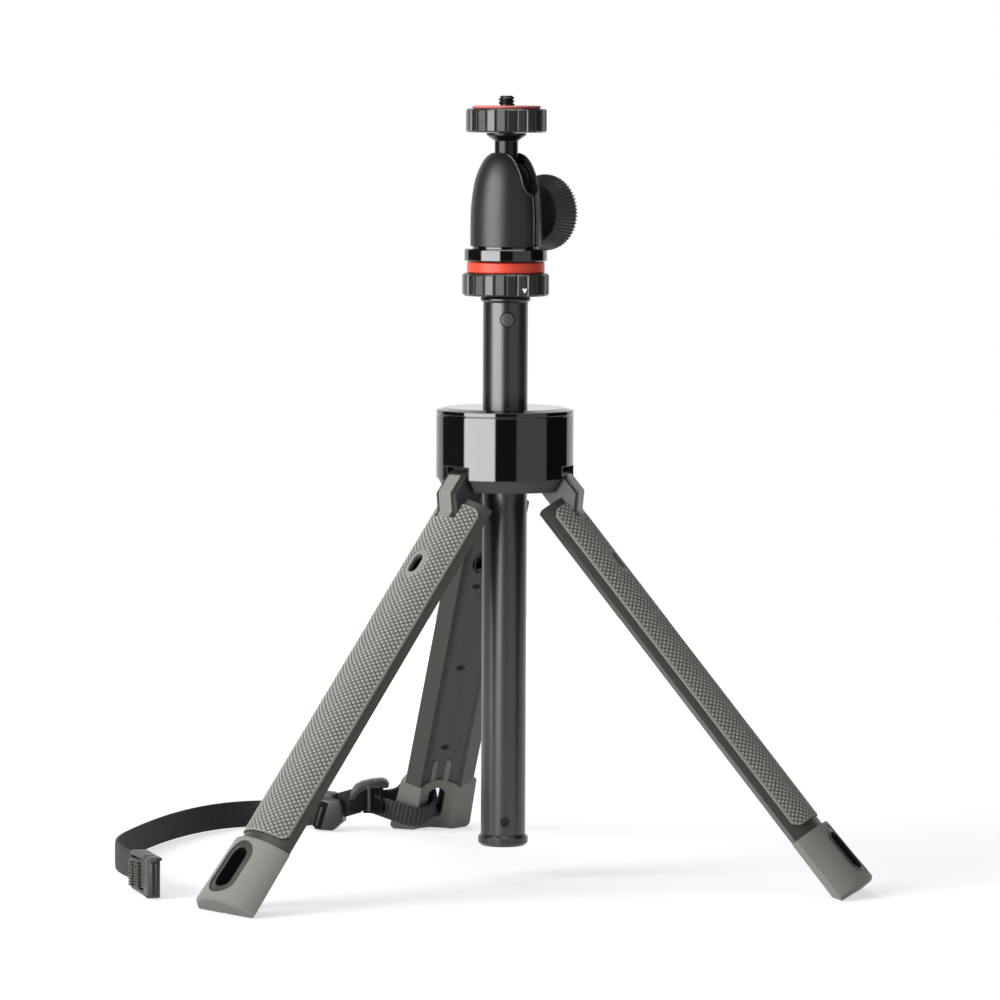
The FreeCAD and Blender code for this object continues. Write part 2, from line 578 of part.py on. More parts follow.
def outer_tube():
    """The lowest and widest tube, fixed in the hub."""
    body = ring(OUTER_TUBE_R, BORE_RADII[0], POLE_BOTTOM, POLE_TOP)
    body = body.cut(front_bar(CAP_PIN_R + FIT, 1, OUTER_TUBE_R + 1, POLE_BOTTOM + CAP_PIN_AT))
    return body.cut(front_bar(BUTTON_R + RUN, 1, OUTER_TUBE_R + 1, POLE_TOP - BUTTON_BELOW_TOP))


def tube_collar():
    """The guide sleeve in the outer tube's mouth, with a pocket for the button's spring."""
    z0, z1 = POLE_TOP - COLLAR_DEPTH, POLE_TOP + COLLAR_FLANGE
    outer, bore = BORE_RADII[0] - FIT, SECOND_TUBE_R + SLIDE
    round_off = COLLAR_ROUND
    body = turned([
        (bore, z0), (outer, z0), (outer, POLE_TOP + FIT), (COLLAR_R - round_off, POLE_TOP + FIT),
        (COLLAR_R, POLE_TOP + FIT + round_off), (COLLAR_R, z1 - round_off),
        (COLLAR_R - round_off, z1), (bore, z1),
    ])
    z = POLE_TOP - BUTTON_BELOW_TOP
    return body.cut(front_bar(BUTTON_FLANGE_R + RUN, 1, outer + 1, z)).cut(spring_pocket(GAP / 2))


def spring_outer():
    """Radius of the leaf spring's outer face, just behind the button's flange."""
    return BORE_RADII[0] - FIT - BUTTON_FLANGE - FIT


def spring_pocket(clearance):
    """The upright space behind the button for its leaf spring, open to the outside."""
    half = SPRING_WIDTH / 2 + clearance
    z = POLE_TOP - BUTTON_BELOW_TOP
    high = SPRING_HEIGHT / 2 + clearance
    floor = spring_outer() - SPRING_STRIP - (FIT if clearance else 0)
    pocket = block(0, OUTER_TUBE_R, -half, half, z - high, z + high)
    return around(pocket.cut(rod(floor, z - high - 1, z + high + 1)), POLE_TURN - 90)


def release_button():
    """The push button, held in by its flange behind the tube's wall."""
    z = POLE_TOP - BUTTON_BELOW_TOP
    inner = BORE_RADII[0] - FIT
    face = rod(OUTER_TUBE_R + BUTTON_PROUD, POLE_BOTTOM, POLE_TOP)
    stem = front_bar(BUTTON_R, inner - BUTTON_FLANGE, OUTER_TUBE_R + 2, z).common(face)
    flange = front_bar(BUTTON_FLANGE_R, inner - BUTTON_FLANGE - 1, OUTER_TUBE_R, z)
    flange = flange.common(ring(inner, inner - BUTTON_FLANGE, POLE_BOTTOM, POLE_TOP))
    stem = stem.cut(rod(inner - BUTTON_FLANGE, POLE_BOTTOM, POLE_TOP))
    return joined([stem, flange])


def button_spring():
    """The leaf behind the button: a thin upright strip that bears on the collar's ends."""
    z = POLE_TOP - BUTTON_BELOW_TOP
    outer = spring_outer()
    strip = ring(outer, outer - SPRING_STRIP, z - SPRING_HEIGHT / 2, z + SPRING_HEIGHT / 2)
    return strip.common(spring_pocket(0))


def inner_tube(n):
    """Tube n of the pole, its mouth rolled in to guide the next one."""
    radius, bore = TUBE_RADII[n], BORE_RADII[n]
    z0 = tube_foot(n)
    z1 = HEAD_Z - GAP
    body = ring(radius, bore, z0, z1)
    neck = ring(bore + FIT, TUBE_RADII[n + 1] + SLIDE, z1 - NECK_LENGTH, z1)
    return joined([body, neck])


def tube_foot(n):
    """Height of the lower end of inner tube n, each a little higher than the one round it."""
    return POLE_BOTTOM + CAP_PLUG + GAP + n * FOOT_STEP


def slider(n):
    """The guide ring on the foot of inner tube n. It runs in the tube outside it."""
    z0 = tube_foot(n) - SLIDER_DROP
    z1 = z0 + SLIDER_LENGTH
    radius = TUBE_RADII[n]
    body = ring(BORE_RADII[n - 1] - SLIDE, radius + FIT, z0, z1)
    lip = ring(BORE_RADII[n - 1] - SLIDE, BORE_RADII[n] - SLIDER_LIP, z0, tube_foot(n) - FIT)
    return joined([body, lip])


def top_tube():
    """The innermost tube, which carries the head on its upper end."""
    return ring(TOP_TUBE_R, BORE_RADII[3], tube_foot(3), LOCK_Z + LOCK_HEIGHT - TUBE_SEAT)


def facets(radius, count, groove, z0, z1):
    """A ring of flat facets with a narrow groove between each two."""
    inner = radius - groove
    step = 2 * math.pi / count
    share = GRIP_GROOVE_SHARE
    points = []
    for i in range(count):
        a = i * step
        for turn, r in ((0.0, inner), (share, radius), (1.0 - share, radius)):
            angle = a + turn * step
            points.append(V(r * math.cos(angle), r * math.sin(angle), z0))
    wire = Part.makePolygon(points + points[:1])
    return Part.Face(wire).extrude(V(0, 0, z1 - z0))


def edge_limit(radius, round_off, z0, z1):
    """A solid of revolution that rounds both rims of a turned piece."""
    return turned([
        (0, z0), (radius - round_off, z0), (radius, z0 + round_off), (radius, z1 - round_off),
        (radius - round_off, z1), (0, z1),
    ])


def lock_ring():
    """The ribbed ring that locks the pan movement. It turns on the head's base."""
    z0, z1 = LOCK_Z, LOCK_Z + LOCK_HEIGHT
    body = facets(LOCK_R, LOCK_RIBS, GRIP_GROOVE, z0, z1)
    body = body.common(edge_limit(LOCK_R, LOCK_ROUND, z0, z1))
    recess = rod(LOCK_BORE_R + LOCK_RECESS_WIDTH, z0 - 1, z0 + LOCK_RECESS_HEIGHT)
    return body.cut(rod(LOCK_BORE_R, z0 - 1, z1 + 1)).cut(recess)


def head_base():
    """The fixed base of the head, bored for the top tube below and the pan bolt above."""
    spigot = LOCK_BORE_R - RUN
    z_disc = ACCENT_Z
    body = turned([
        (0, LOCK_Z), (spigot, LOCK_Z), (spigot, z_disc), (ACCENT_R - ACCENT_WALL, z_disc),
        (ACCENT_R - ACCENT_WALL, PAN_Z - GAP / 2), (PAN_BOSS_R, PAN_Z - GAP / 2),
        (PAN_BOSS_R, DOME_Z - FIT), (0, DOME_Z - FIT),
    ])
    body = body.cut(rod(TOP_TUBE_R + FIT / 2, LOCK_Z - 1, LOCK_Z + LOCK_HEIGHT - TUBE_SEAT + FIT))
    body = body.cut(rod(PAN_BOLT_R + FIT / 2, LOCK_Z + LOCK_HEIGHT, DOME_Z + 1))
    groove = ring(
        LOCK_BORE_R + 1, LOCK_BORE_R - CLIP_DEPTH - 2 * FIT,
        LOCK_Z + CLIP_LOW - FIT, LOCK_Z + CLIP_HIGH + FIT,
    )
    return body.cut(groove)


def lock_ring_clip():
    """The snap ring that keeps the lock ring on the base."""
    clip = ring(LOCK_BORE_R + CLIP_REACH, LOCK_BORE_R - CLIP_DEPTH, LOCK_Z + CLIP_LOW, LOCK_Z + CLIP_HIGH)
    half = CLIP_OPENING / 2
    return clip.cut(block(0, LOCK_R, -half, half, LOCK_Z, LOCK_Z + 2 * CLIP_HIGH))


def accent_ring():
    """The coloured ring pressed round the head's base."""
    z0, z1 = ACCENT_Z, ACCENT_Z + ACCENT_HEIGHT
    return edge_limit(ACCENT_R, ACCENT_ROUND, z0, z1).cut(rod(ACCENT_R - ACCENT_WALL + FIT, z0 - 1, z1 + 1))


def pan_base_ring():
    """The gloss ring under the dome. It turns round the base's boss."""
    body = edge_limit(PAN_RING_R, PAN_RING_ROUND, PAN_Z, GROOVE_Z)
    body = joined([body, rod(GROOVE_R, GROOVE_Z - 1, DOME_Z)])
    body = body.cut(rod(PAN_BOSS_R + RUN, PAN_Z - 1, DOME_Z + 1))
    for cutter in housing_screw_bars(FIT):
        body = body.cut(cutter)
    return body


def pan_bolt():
    """The bolt that holds the head down on its base."""
    z_head = DOME_Z + PAN_WASHER_THICK + 2 * FIT
    z_top = z_head + PAN_BOLT_HEAD
    shank = rod(PAN_BOLT_R, LOCK_Z + LOCK_HEIGHT + PAN_BOLT_TIP, z_head + 1)
    head = rod(PAN_BOLT_HEAD_R, z_head, z_top)
    socket = rod(PAN_BOLT_SOCKET_R, z_head + PAN_BOLT_SOCKET_FLOOR, z_top + 1)
    return joined([shank, head]).cut(socket)


def pan_washer():
    """The friction washer under the pan bolt's head."""
    z0 = DOME_Z + FIT
    return ring(PAN_WASHER_R, PAN_BOLT_R + FIT, z0, z0 + PAN_WASHER_THICK)


def housing_screw_bars(clearance):
    """The space of the three screws that hold the dome to the gloss ring."""
    solids = []
    for i in range(3):
        turn = math.radians(90 + 120 * i)
        at = (HOUSING_SCREW_AT * math.cos(turn), HOUSING_SCREW_AT * math.sin(turn))
        head = bar(
            HOUSING_SCREW_HEAD_R + clearance, (*at, PAN_Z - clearance), (0, 0, 1),
            HOUSING_SCREW_HEAD + 2 * clearance,
        )
        shank = bar(
            HOUSING_SCREW_R + clearance / 2, (*at, PAN_Z), (0, 0, 1),
            HOUSING_SCREW_LENGTH + clearance,
        )
        solids.append(joined([head, shank]))
    return solids


def head_turned(shape):
    """A head piece, modelled with the drop slot towards +X, turned to where the slot faces."""
    return around(shape, -HEAD_SLOT_TURN)


def dome_outline():
    """The dome's solid: a straight base, then arcs that run smoothly into each other up to the mouth."""
    points = [
        (DOME_R, DOME_STRAIGHT), (DOME_SHOULDER_R, DOME_SHOULDER_AT), (DOME_CROWN_R, DOME_CROWN_AT),
        (DOME_TOP_R, DOME_HEIGHT),
    ]
    low, *others = [V(r, 0, DOME_Z + h) for r, h in points]
    axis_low, axis_top = V(0, 0, DOME_Z), V(0, 0, DOME_Z + DOME_HEIGHT)
    base = V(DOME_R, 0, DOME_Z)
    edges = [Part.makeLine(axis_low, base), Part.makeLine(base, low)]
    here, way = low, V(0, 0, 1)
    for there in others:
        chord = there - here
        inwards = V(-way.z, 0, way.x)
        radius = chord.Length ** 2 / (2 * chord.dot(inwards))
        centre = here + inwards * radius
        middle = centre + ((here + there) * 0.5 - centre).normalize() * radius
        edges.append(Part.Arc(here, middle, there).toShape())
        out = (there - centre).normalize()
        here, way = there, V(-out.z, 0, out.x)
    edges += [Part.makeLine(here, axis_top), Part.makeLine(axis_top, axis_low)]
    return Part.Face(Part.Wire(edges)).revolve(ORIGIN, Z_AXIS, 360)


def stem_slot():
    """The space that the stem sweeps, from upright to level."""
    r = STEM_R + SLOT_CLEARANCE
    top = DOME_Z + DOME_HEIGHT + 1
    return joined([
        block(0, DOME_R + 2, -r, r, BALL_Z, top), bar(r, (0, 0, BALL_Z), (0, 0, 1), top - BALL_Z),
        bar(r, (0, 0, BALL_Z), (1, 0, 0), DOME_R + 2),
    ])


def ball_space(radius):
    """A sphere about the ball's centre."""
    return Part.makeSphere(radius, V(0, 0, BALL_Z))


def head_housing():
    """The split dome round the ball, with a pad for the clamp knob and a nut pocket."""
    pad = block(
        -PAD_HALF_WIDTH, PAD_HALF_WIDTH, 0, PAD_REACH, DOME_Z, DOME_Z + PAD_HEIGHT
    )
    edges = [
        e for e in pad.Edges
        if e.BoundBox.YMin > PAD_REACH - 1 and e.BoundBox.ZMax > DOME_Z + 1
    ]
    pad = pad.makeFillet(PAD_ROUND, edges)
    body = joined([dome_outline(), pad])
    cavity = BALL_R + FIT + LINER_THICKNESS + FIT
    body = body.cut(ball_space(cavity)).cut(stem_slot())
    body = body.cut(rod(DOME_MOUTH_R, BALL_Z, DOME_Z + DOME_HEIGHT + 1))
    body = body.cut(rod(cavity, DOME_Z - 1, BALL_Z))
    body = body.cut(block(0, DOME_R + 2, -SLIT / 2, SLIT / 2, DOME_Z - 1, BALL_Z))
    bore_start = NUT_IN - DOME_R - FIT
    bore = bar(CLAMP_SCREW_R + FIT, (0, bore_start, CLAMP_Z), (0, 1, 0), PAD_REACH + 1 - bore_start)
    body = body.cut(bore)
    body = body.cut(nut_prism(FIT))
    for cutter in housing_screw_bars(FIT / 2):
        body = body.cut(around(cutter, HEAD_SLOT_TURN))
    return head_turned(body)


def nut_prism(clearance):
    """The clamp nut's hexagon, in the dome's side away from the knob."""
    r = (NUT_ACROSS / 2 + clearance) / math.cos(math.radians(30))
    y = NUT_IN - DOME_R - clearance
    points = [
        V(r * math.cos(math.radians(60 * i)), 0, r * math.sin(math.radians(60 * i)))
        for i in range(6)
    ]
    return prism(points, V(0, y, CLAMP_Z), V(0, NUT_HEIGHT + 2 * clearance, 0))


def clamp_nut():
    """The nut that the clamp screw draws on."""
    bore = bar(CLAMP_SCREW_R + RUN, (0, -DOME_R, CLAMP_Z), (0, 1, 0), NUT_IN + NUT_HEIGHT + 1)
    nut = nut_prism(0).cut(bore)
    return head_turned(nut)


def ball_liner():
    """The seat between the ball and the dome, straight outside below the ball's middle."""
    outer = BALL_R + FIT + LINER_THICKNESS
    lower = rod(outer, BALL_Z - LINER_BELOW, BALL_Z)
    upper = ball_space(outer).common(rod(outer, BALL_Z - 1, BALL_Z + LINER_ABOVE))
    body = joined([lower, upper]).cut(ball_space(BALL_R + FIT)).cut(stem_slot())
    body = body.cut(block(0, DOME_R + 2, -SLIT / 2, SLIT / 2, DOME_Z - 1, BALL_Z))
    return head_turned(body)


def clamp_screw():
    """The screw that pulls the split dome together."""
    start = NUT_IN - DOME_R
    screw = bar(CLAMP_SCREW_R, (0, start, CLAMP_Z), (0, 1, 0), KNOB_FAR - KNOB_FLOOR - start)
    return head_turned(screw)


def clamp_knob():
    """The flared knob with a ribbed rim."""
    profile = [
        (0, KNOB_NEAR), (KNOB_NEAR_R, KNOB_NEAR), (KNOB_R, KNOB_FAR), (KNOB_END_R, KNOB_END),
        (0, KNOB_END),
    ]
    wire = Part.makePolygon([V(r, y, CLAMP_Z) for r, y in profile + profile[:1]])
    body = Part.Face(wire).revolve(V(0, 0, CLAMP_Z), Y_AXIS, 360)
    collar = ring_along_y(KNOB_COLLAR_R, PAD_REACH + GAP, KNOB_NEAR + KNOB_HOLLOW)
    hollow = ring_along_y(KNOB_NEAR_R - KNOB_RIM, KNOB_NEAR - 1, KNOB_NEAR + KNOB_HOLLOW)
    body = joined([body.cut(hollow), collar])
    depth = KNOB_FAR - KNOB_FLOOR + FIT - PAD_REACH
    bore = bar(CLAMP_SCREW_R + FIT, (0, PAD_REACH, CLAMP_Z), (0, 1, 0), depth)
    return head_turned(body.cut(bore))


def ring_along_y(radius, y0, y1):
    """A short cylinder on the clamp screw's axis."""
    return bar(radius, (0, y0, CLAMP_Z), (0, 1, 0), y1 - y0)


def tilt_ball():
    """The ball in the dome, bored for the stem."""
    bore = rod(STEM_R + FIT, BALL_Z - STEM_SEAT, DISC_Z)
    return ball_space(BALL_R).cut(bore)


def ball_stem():
    """The stem pressed in the ball, with a conical flange and the camera screw's bore."""
    z_seat, z_cone, z_top = BALL_Z - STEM_SEAT + FIT, BALL_Z + CONE_AT, DISC_Z - GAP
    body = turned([
        (0, z_seat), (STEM_R, z_seat), (STEM_R, z_cone), (CONE_R, z_cone + CONE_HEIGHT * CONE_SHARE),
        (CONE_R, z_top), (0, z_top),
    ])
    return body.cut(rod(SCREW_SHANK_R + FIT / 2, DISC_Z - SCREW_SUNK - FIT, DISC_Z))


def platform_disc():
    """The knurled disc under the camera. It turns on the camera screw's shank."""
    z0, z1 = DISC_Z, DISC_TOP
    body = facets(DISC_R, DISC_FACETS, GRIP_GROOVE, z0, z1)
    body = body.common(edge_limit(DISC_R, DISC_ROUND, z0, z1))
    return body.cut(rod(SCREW_SHANK_R + RUN, z0 - 1, z1 + 1))


def platform_pad():
    """The soft ring that the camera seats on."""
    z0, z1 = DISC_TOP + FIT, DISC_TOP + PAD_THICKNESS
    return edge_limit(PAD_R, PAD_EDGE, z0, z1).cut(rod(CAMERA_SCREW_R + GAP, z0 - 1, z1 + 1))


def camera_screw():
    """The standard camera screw. Its shank goes through the disc into the stem."""
    seat = DISC_TOP + PAD_THICKNESS
    z0, z1 = DISC_Z - SCREW_SUNK, seat + CAMERA_SCREW_PROUD
    return turned([
        (0, z0), (SCREW_SHANK_R, z0), (SCREW_SHANK_R, seat), (CAMERA_SCREW_R, seat),
        (CAMERA_SCREW_R, z1 - SCREW_TIP), (CAMERA_SCREW_R - SCREW_TIP, z1), (0, z1),
    ])


def bends(points):
    """Tangent points, middle and radius of the arc at each inner point of a route."""
    found = []
    for before, at, after in zip(points, points[1:], points[2:]):
        a, b = before - at, after - at
        turn = math.pi - a.getAngle(b)
        reach = 0.45 * min(a.Length, b.Length)
        radius = reach / math.tan(turn / 2)
        ua, ub = V(a).normalize(), V(b).normalize()
        bisector = (ua + ub).normalize()
        centre = at + bisector * (radius / math.cos(turn / 2))
        middle = centre - bisector * radius
        found.append((at + ua * reach, middle, at + ub * reach, radius, centre))
    return found


def route_wire(points):
    """Straight runs joined by tangent arcs, and the tightest arc's radius."""
    edges, here = [], points[0]
    arcs = bends(points)
    for start, middle, end, radius, centre in arcs:
        edges += [Part.makeLine(here, start), Part.Arc(start, middle, end).toShape()]
        here = end
    edges.append(Part.makeLine(here, points[-1]))
    return Part.Wire(edges), min(a[3] for a in arcs)


def swept_band(points, width, thick):
    """A flat band swept along a route with its width upright."""
    wire, tightest = route_wire(points)
    start, way = points[0], (points[1] - points[0]).normalize()
    side = Z_AXIS.cross(way).normalize() * (thick / 2)
    up = V(0, 0, width / 2)
    corners = [start + side + up, start - side + up, start - side - up, start + side - up]
    profile = Part.makePolygon(corners + corners[:1])
    pipe = Part.BRepOffsetAPI.MakePipeShell(wire)
    pipe.setBiNormalMode(Z_AXIS)
    pipe.add(profile)
    pipe.build()
    pipe.makeSolid()
    solid = pipe.shape()
    print("band length", round(wire.Length, 1), "tightest arc", round(tightest, 1),
          "volume share", round(solid.Volume / (wire.Length * width * thick), 3))
    return solid


def flat_loop(points, width, thick, z):
    """A band whose route lies in one level plane, with a height of its width."""
    arcs = bends(points)
    def offset(side):
        edges, half = [], thick / 2 * side
        way = (points[1] - points[0]).normalize()
        here = points[0] + Z_AXIS.cross(way) * half
        for start, middle, end, radius, centre in arcs:
            moved = [centre + (p - centre) * (1 + side_of(centre, start, end) * half / radius)
                     for p in (start, middle, end)]
            edges += [Part.makeLine(here, moved[0]), Part.Arc(*moved).toShape()]
            here = moved[2]
        way = (points[-1] - points[-2]).normalize()
        last = points[-1] + Z_AXIS.cross(way) * half
        edges.append(Part.makeLine(here, last))
        return edges, last
    def side_of(centre, start, end):
        return -1 if (start - centre).cross(end - centre).z > 0 else 1
    left, left_end = offset(1)
    right, right_end = offset(-1)
    first_left, first_right = left[0].Vertexes[0].Point, right[0].Vertexes[0].Point
    edges = left + [Part.makeLine(left_end, right_end)] + right[::-1]
    edges.append(Part.makeLine(first_right, first_left))
    wire = Part.Wire(Part.__sortEdges__(edges))
    print("loop tightest arc", round(min(a[3] for a in arcs), 1))
    solid = Part.Face(wire).extrude(V(0, 0, width))
    solid.translate(V(0, 0, z - width / 2))
    return solid


def strap_points():
    """The strap's route as vectors."""
    return [V(*p) for p in STRAP_ROUTE]


def strap_band(extra=0.0):
    """The webbing from the clip round to the end buckle."""
    return swept_band(strap_points(), STRAP_WIDTH + extra, STRAP_THICK + extra)


def strap_loop(extra=0.0):
    """The webbing loop through the rear foot's slot, in the leg's own section."""
    points = [V(u, t, 0) for u, t in LOOP_ROUTE]
    loop = flat_loop(points, STRAP_WIDTH + extra, STRAP_THICK + extra, below(LOOP_AT))
    return opened(loop, 2)


def centred_block(size, at):
    """A box of a size about a centre."""
    half = [s / 2 for s in size]
    return block(*[v for s, c in zip(half, at) for v in (c - s, c + s)])


def side_plate(points, thick):
    """A plate from its side view in X and Z, its thickness centred on Y."""
    outline = [V(x, 0, z) for x, z in points]
    return prism(outline, V(0, -thick / 2, 0), V(0, thick, 0))


def strap_clip():
    """The hooked clip between the loop and the strap."""
    body = centred_block(CLIP_SIZE, CLIP_AT)
    cap = side_plate(CLIP_CAP, CLIP_SIZE[1])
    cap.translate(V(*CLIP_AT))
    body = joined([body, cap])
    return body.cut(strap_loop(2 * FIT)).cut(strap_band(2 * FIT))


def strap_slider():
    """The adjuster on the strap: it widens downwards and has a tab on top."""
    a, b = strap_points()[SLIDER_RUN:SLIDER_RUN + 2]
    at = (a + b) * 0.5
    body = side_plate(SLIDER_SIDE, SLIDER_THICK)
    body = around(body, math.degrees(math.atan2(b.y - a.y, b.x - a.x)) + 180)
    body.translate(V(at.x, at.y, SLIDER_MIDDLE))
    return body.cut(strap_band(2 * FIT))


def buckle_placed(shape):
    """A buckle piece, modelled along +X from its pin end, moved to the strap's end."""
    before, end = strap_points()[-2:]
    way = V(end.x - before.x, end.y - before.y, 0).normalize()
    moved = around(shape, math.degrees(math.atan2(way.y, way.x)))
    moved.translate(end - way * BUCKLE_WALL)
    return moved


def end_buckle():
    """The buckle's frame: a bar for the strap, a back plate, a pin and a box end."""
    high, wide, wall = BUCKLE_HEIGHT / 2, BUCKLE_THICK / 2, BUCKLE_WALL
    body = block(0, BUCKLE_LENGTH, -wide, wide, -high, high)
    body = body.cut(block(wall, BUCKLE_BOX_AT, -wide - 1, wide - wall, -high + wall, high - wall))
    pin = bar(LEVER_PIN_R, (LEVER_PIN_AT, LEVER_PIN_SIDE, -high), (0, 0, 1), BUCKLE_HEIGHT)
    half, edge = STRAP_THICK / 2 + FIT, STRAP_WIDTH / 2 + FIT
    mouth = block(-1, wall + 1, -half, half, -edge, edge)
    return buckle_placed(joined([body, pin]).cut(mouth))


def end_buckle_lever():
    """The lever that grips the strap. It turns on the frame's pin."""
    high = BUCKLE_HEIGHT / 2 - BUCKLE_WALL - GAP
    y0 = -BUCKLE_THICK / 2 - LEVER_PROUD
    at = (LEVER_PIN_AT, LEVER_PIN_SIDE, -high)
    plate = block(LEVER_TIP_AT, LEVER_PIN_AT, y0, y0 + LEVER_THICK, -high, high)
    hub = bar(LEVER_HUB_R, at, (0, 0, 1), 2 * high)
    bore = bar(LEVER_PIN_R + RUN, at, (0, 0, 1), 2 * high)
    return buckle_placed(joined([plate, hub]).cut(bore))


def build():
    """Every piece by its name."""
    pieces = {
        "outer_tube": outer_tube(),
        "tube_collar": tube_collar(),
        "release_button": release_button(),
        "button_spring": button_spring(),
        "end_cap": end_cap(),
        "cap_pin": cap_pin(),
        "second_tube": inner_tube(1),
        "second_slider": slider(1),
        "third_tube": inner_tube(2),
        "third_slider": slider(2),
        "top_tube": top_tube(),
        "top_slider": slider(3),
        "hub_shell": hub_shell(),
        "hub_lid": hub_lid(),
        "hub_core": hub_core(),
        "hub_skirt": hub_skirt(),
        "hinge_pins": hinge_pins(),
        "hub_screws": Part.makeCompound(hub_screw_bars(0)),
        "head_base": head_base(),
        "lock_ring": lock_ring(),
        "lock_ring_clip": lock_ring_clip(),
        "accent_ring": accent_ring(),
        "pan_base_ring": pan_base_ring(),
        "pan_bolt": pan_bolt(),
        "pan_washer": pan_washer(),
        "housing_screws": Part.makeCompound(housing_screw_bars(0)),
        "head_housing": head_housing(),
        "ball_liner": ball_liner(),
        "clamp_nut": clamp_nut(),
        "clamp_screw": clamp_screw(),
        "clamp_knob": clamp_knob(),
        "tilt_ball": tilt_ball(),
        "ball_stem": ball_stem(),
        "platform_disc": platform_disc(),
        "platform_pad": platform_pad(),
        "camera_screw": camera_screw(),
        "strap_loop": strap_loop(),
        "strap_band": strap_band(),
        "strap_clip": strap_clip(),
        "strap_slider": strap_slider(),
        "end_buckle": end_buckle(),
        "end_buckle_lever": end_buckle_lever(),
    }
    for k, name in enumerate(("right", "left", "rear")):
        pieces[name + "_yoke"] = opened(leg_yoke(), k)
        pieces[name + "_leg_shell"] = opened(leg_shell(), k)
        pieces[name + "_leg_grip"] = opened(leg_grip(), k)
        pieces[name + "_leg_liner"] = opened(leg_liner(), k)
        pieces[name + "_leg_screws"] = opened(leg_screws(), k)
        pieces[name + "_foot"] = leg_foot(k)
    return pieces


def main():
    os.makedirs("parts", exist_ok=True)
    for name, shape in build().items():
        solids = len(shape.Solids)
        print(f"{name:18s} solids {solids} valid {shape.isValid()} volume {shape.Volume:9.1f}")
        shape.exportStep("parts/" + name + ".step")


main()
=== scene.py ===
"""The looks of a telescoping tripod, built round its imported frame.

Pieces are shaped in millimetres, a leg's in its folded place about +X, and then placed."""

import json
import math

import bmesh
import bpy
from mathutils import Matrix, Vector


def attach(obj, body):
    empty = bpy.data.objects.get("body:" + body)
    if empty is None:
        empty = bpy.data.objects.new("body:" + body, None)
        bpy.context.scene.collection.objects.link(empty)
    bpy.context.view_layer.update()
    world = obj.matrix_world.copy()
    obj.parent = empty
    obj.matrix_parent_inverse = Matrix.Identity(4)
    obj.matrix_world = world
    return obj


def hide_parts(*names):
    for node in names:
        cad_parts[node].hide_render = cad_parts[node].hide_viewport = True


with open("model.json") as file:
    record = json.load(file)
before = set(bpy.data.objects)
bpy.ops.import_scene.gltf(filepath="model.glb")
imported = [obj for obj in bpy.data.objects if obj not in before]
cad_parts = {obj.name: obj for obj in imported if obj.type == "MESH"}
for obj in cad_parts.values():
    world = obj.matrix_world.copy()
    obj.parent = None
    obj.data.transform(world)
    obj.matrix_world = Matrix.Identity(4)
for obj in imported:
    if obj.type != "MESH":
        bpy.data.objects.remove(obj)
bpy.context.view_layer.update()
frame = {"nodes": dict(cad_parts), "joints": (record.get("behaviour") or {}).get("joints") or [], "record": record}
nodes = frame["nodes"]
joints = {j["name"]: j for j in frame["joints"]}

MM = 0.001
TO_METRES = Matrix.Scale(MM, 4)
STAND_UP = Matrix.Rotation(math.pi / 2, 4, "X")
LEGS = ("right", "left", "rear")


def joint_height(name):
    """Height of a joint above the floor in millimetres."""
    return joints[name]["pos_m"][2] / MM


# The view: a long lens on the tripod's front, a little above its middle
CAMERA_AT = (-1.8, -2070.0, 313.0)
CAMERA_PITCH = 4.53
CAMERA_ROLL = 0.28
LENS, SENSOR = 190.8, 36.0

# Surroundings that gloss reflects: bearings in degrees to the right, heights as sines, and levels
LEFT_BOX, LEFT_BOX_LEVEL = (-72.0, -16.5), 7.6
RIGHT_BOX, RIGHT_BOX_LEVEL = (19.5, 74.0), 0.55
BOX_EDGE = 1.5
BACKDROP_FROM, BACKDROP_EDGE = 0.62, 0.03
BOX_TOP, BACKDROP_TOP = (0.6, 0.7), (0.45, 0.55)
CEILING, CEILING_LEVEL = (0.87, 0.93), 3.4
DARK_LEVEL = 0.02
AMBIENT, DIFFUSE_SHARE = 0.08, 0.19
LAMPS = [  # name, place, target, size, watts
    ("key", (-1.6, -0.7, 1.1), (0, 0, 0.12), (1.1, 1.1), 34.0),
    ("back", (-0.6, 1.5, 1.6), (0, 0, 0.0), (1.6, 1.0), 12.0),
    ("fill", (1.3, -1.7, 0.7), (0, 0, 0.2), (1.0, 1.0), 4.0),
]

# The floor in metres: it glows more from one radius to the other
FLOOR_R = 1.0
FLOOR_GLOW = 0.62
FLOOR_TONE = (0.49, 0.49, 0.49, 1)
FLOOR_FADE = (0.35, 0.85)

# Legs in their folded place: radii from the pole, lengths down from the hinge
HINGE_Z = joint_height("right_leg_fold")
GRIP_R = 17.2
GRIP_HALF = GRIP_R * math.radians(47.0)  # half its width, laid flat
GRIP_TOP, GRIP_END = 16.4, 171.4
GRIP_MIDDLE = (GRIP_TOP + GRIP_END) / 2
GRIP_CORNER = 3.0
YOKE_WIDTH, YOKE_END = 11.3, 23.3
RIB_HALF, RIB_TOP, RIB_SOFT = 3.4, 7.4, 0.1
# The brackets' tone is painted shade, a share of the rib's grey.
BRACKET_SHADE = 0.13  # of the rib's
LEG_HOLE_AT, LEG_HOLE_LENGTH, LEG_HOLE_WIDTH = 46.0, 8.4, 4.8
KNURL_WIDE, KNURL_LONG, KNURL_RISE = 2.6, 2.1, 0.5
KNURL_TOP, KNURL_SUNK, KNURL_PROUD = 0.36, 0.3, 0.02
KNURL_MARGIN, HOLE_MARGIN = 0.7, 1.9
RIM_IN, RIM_RISE, RIM_SUNK = 0.1, 0.38, 0.1
CHANNEL_R = 10.15
WINDOW_AT, WINDOW_LENGTH, WINDOW_WIDTH = 49.2, 8.8, 6.4
WINDOW_LIP, WINDOW_LIP_WALL, WINDOW_LIP_RISE, WINDOW_LIP_SUNK = 1.3, 0.9, 0.45, 0.1
SCREW_COUNT, SCREW_FIRST, SCREW_PITCH, SCREW_SEAT = 3, 62.0, 47.0, 0.8
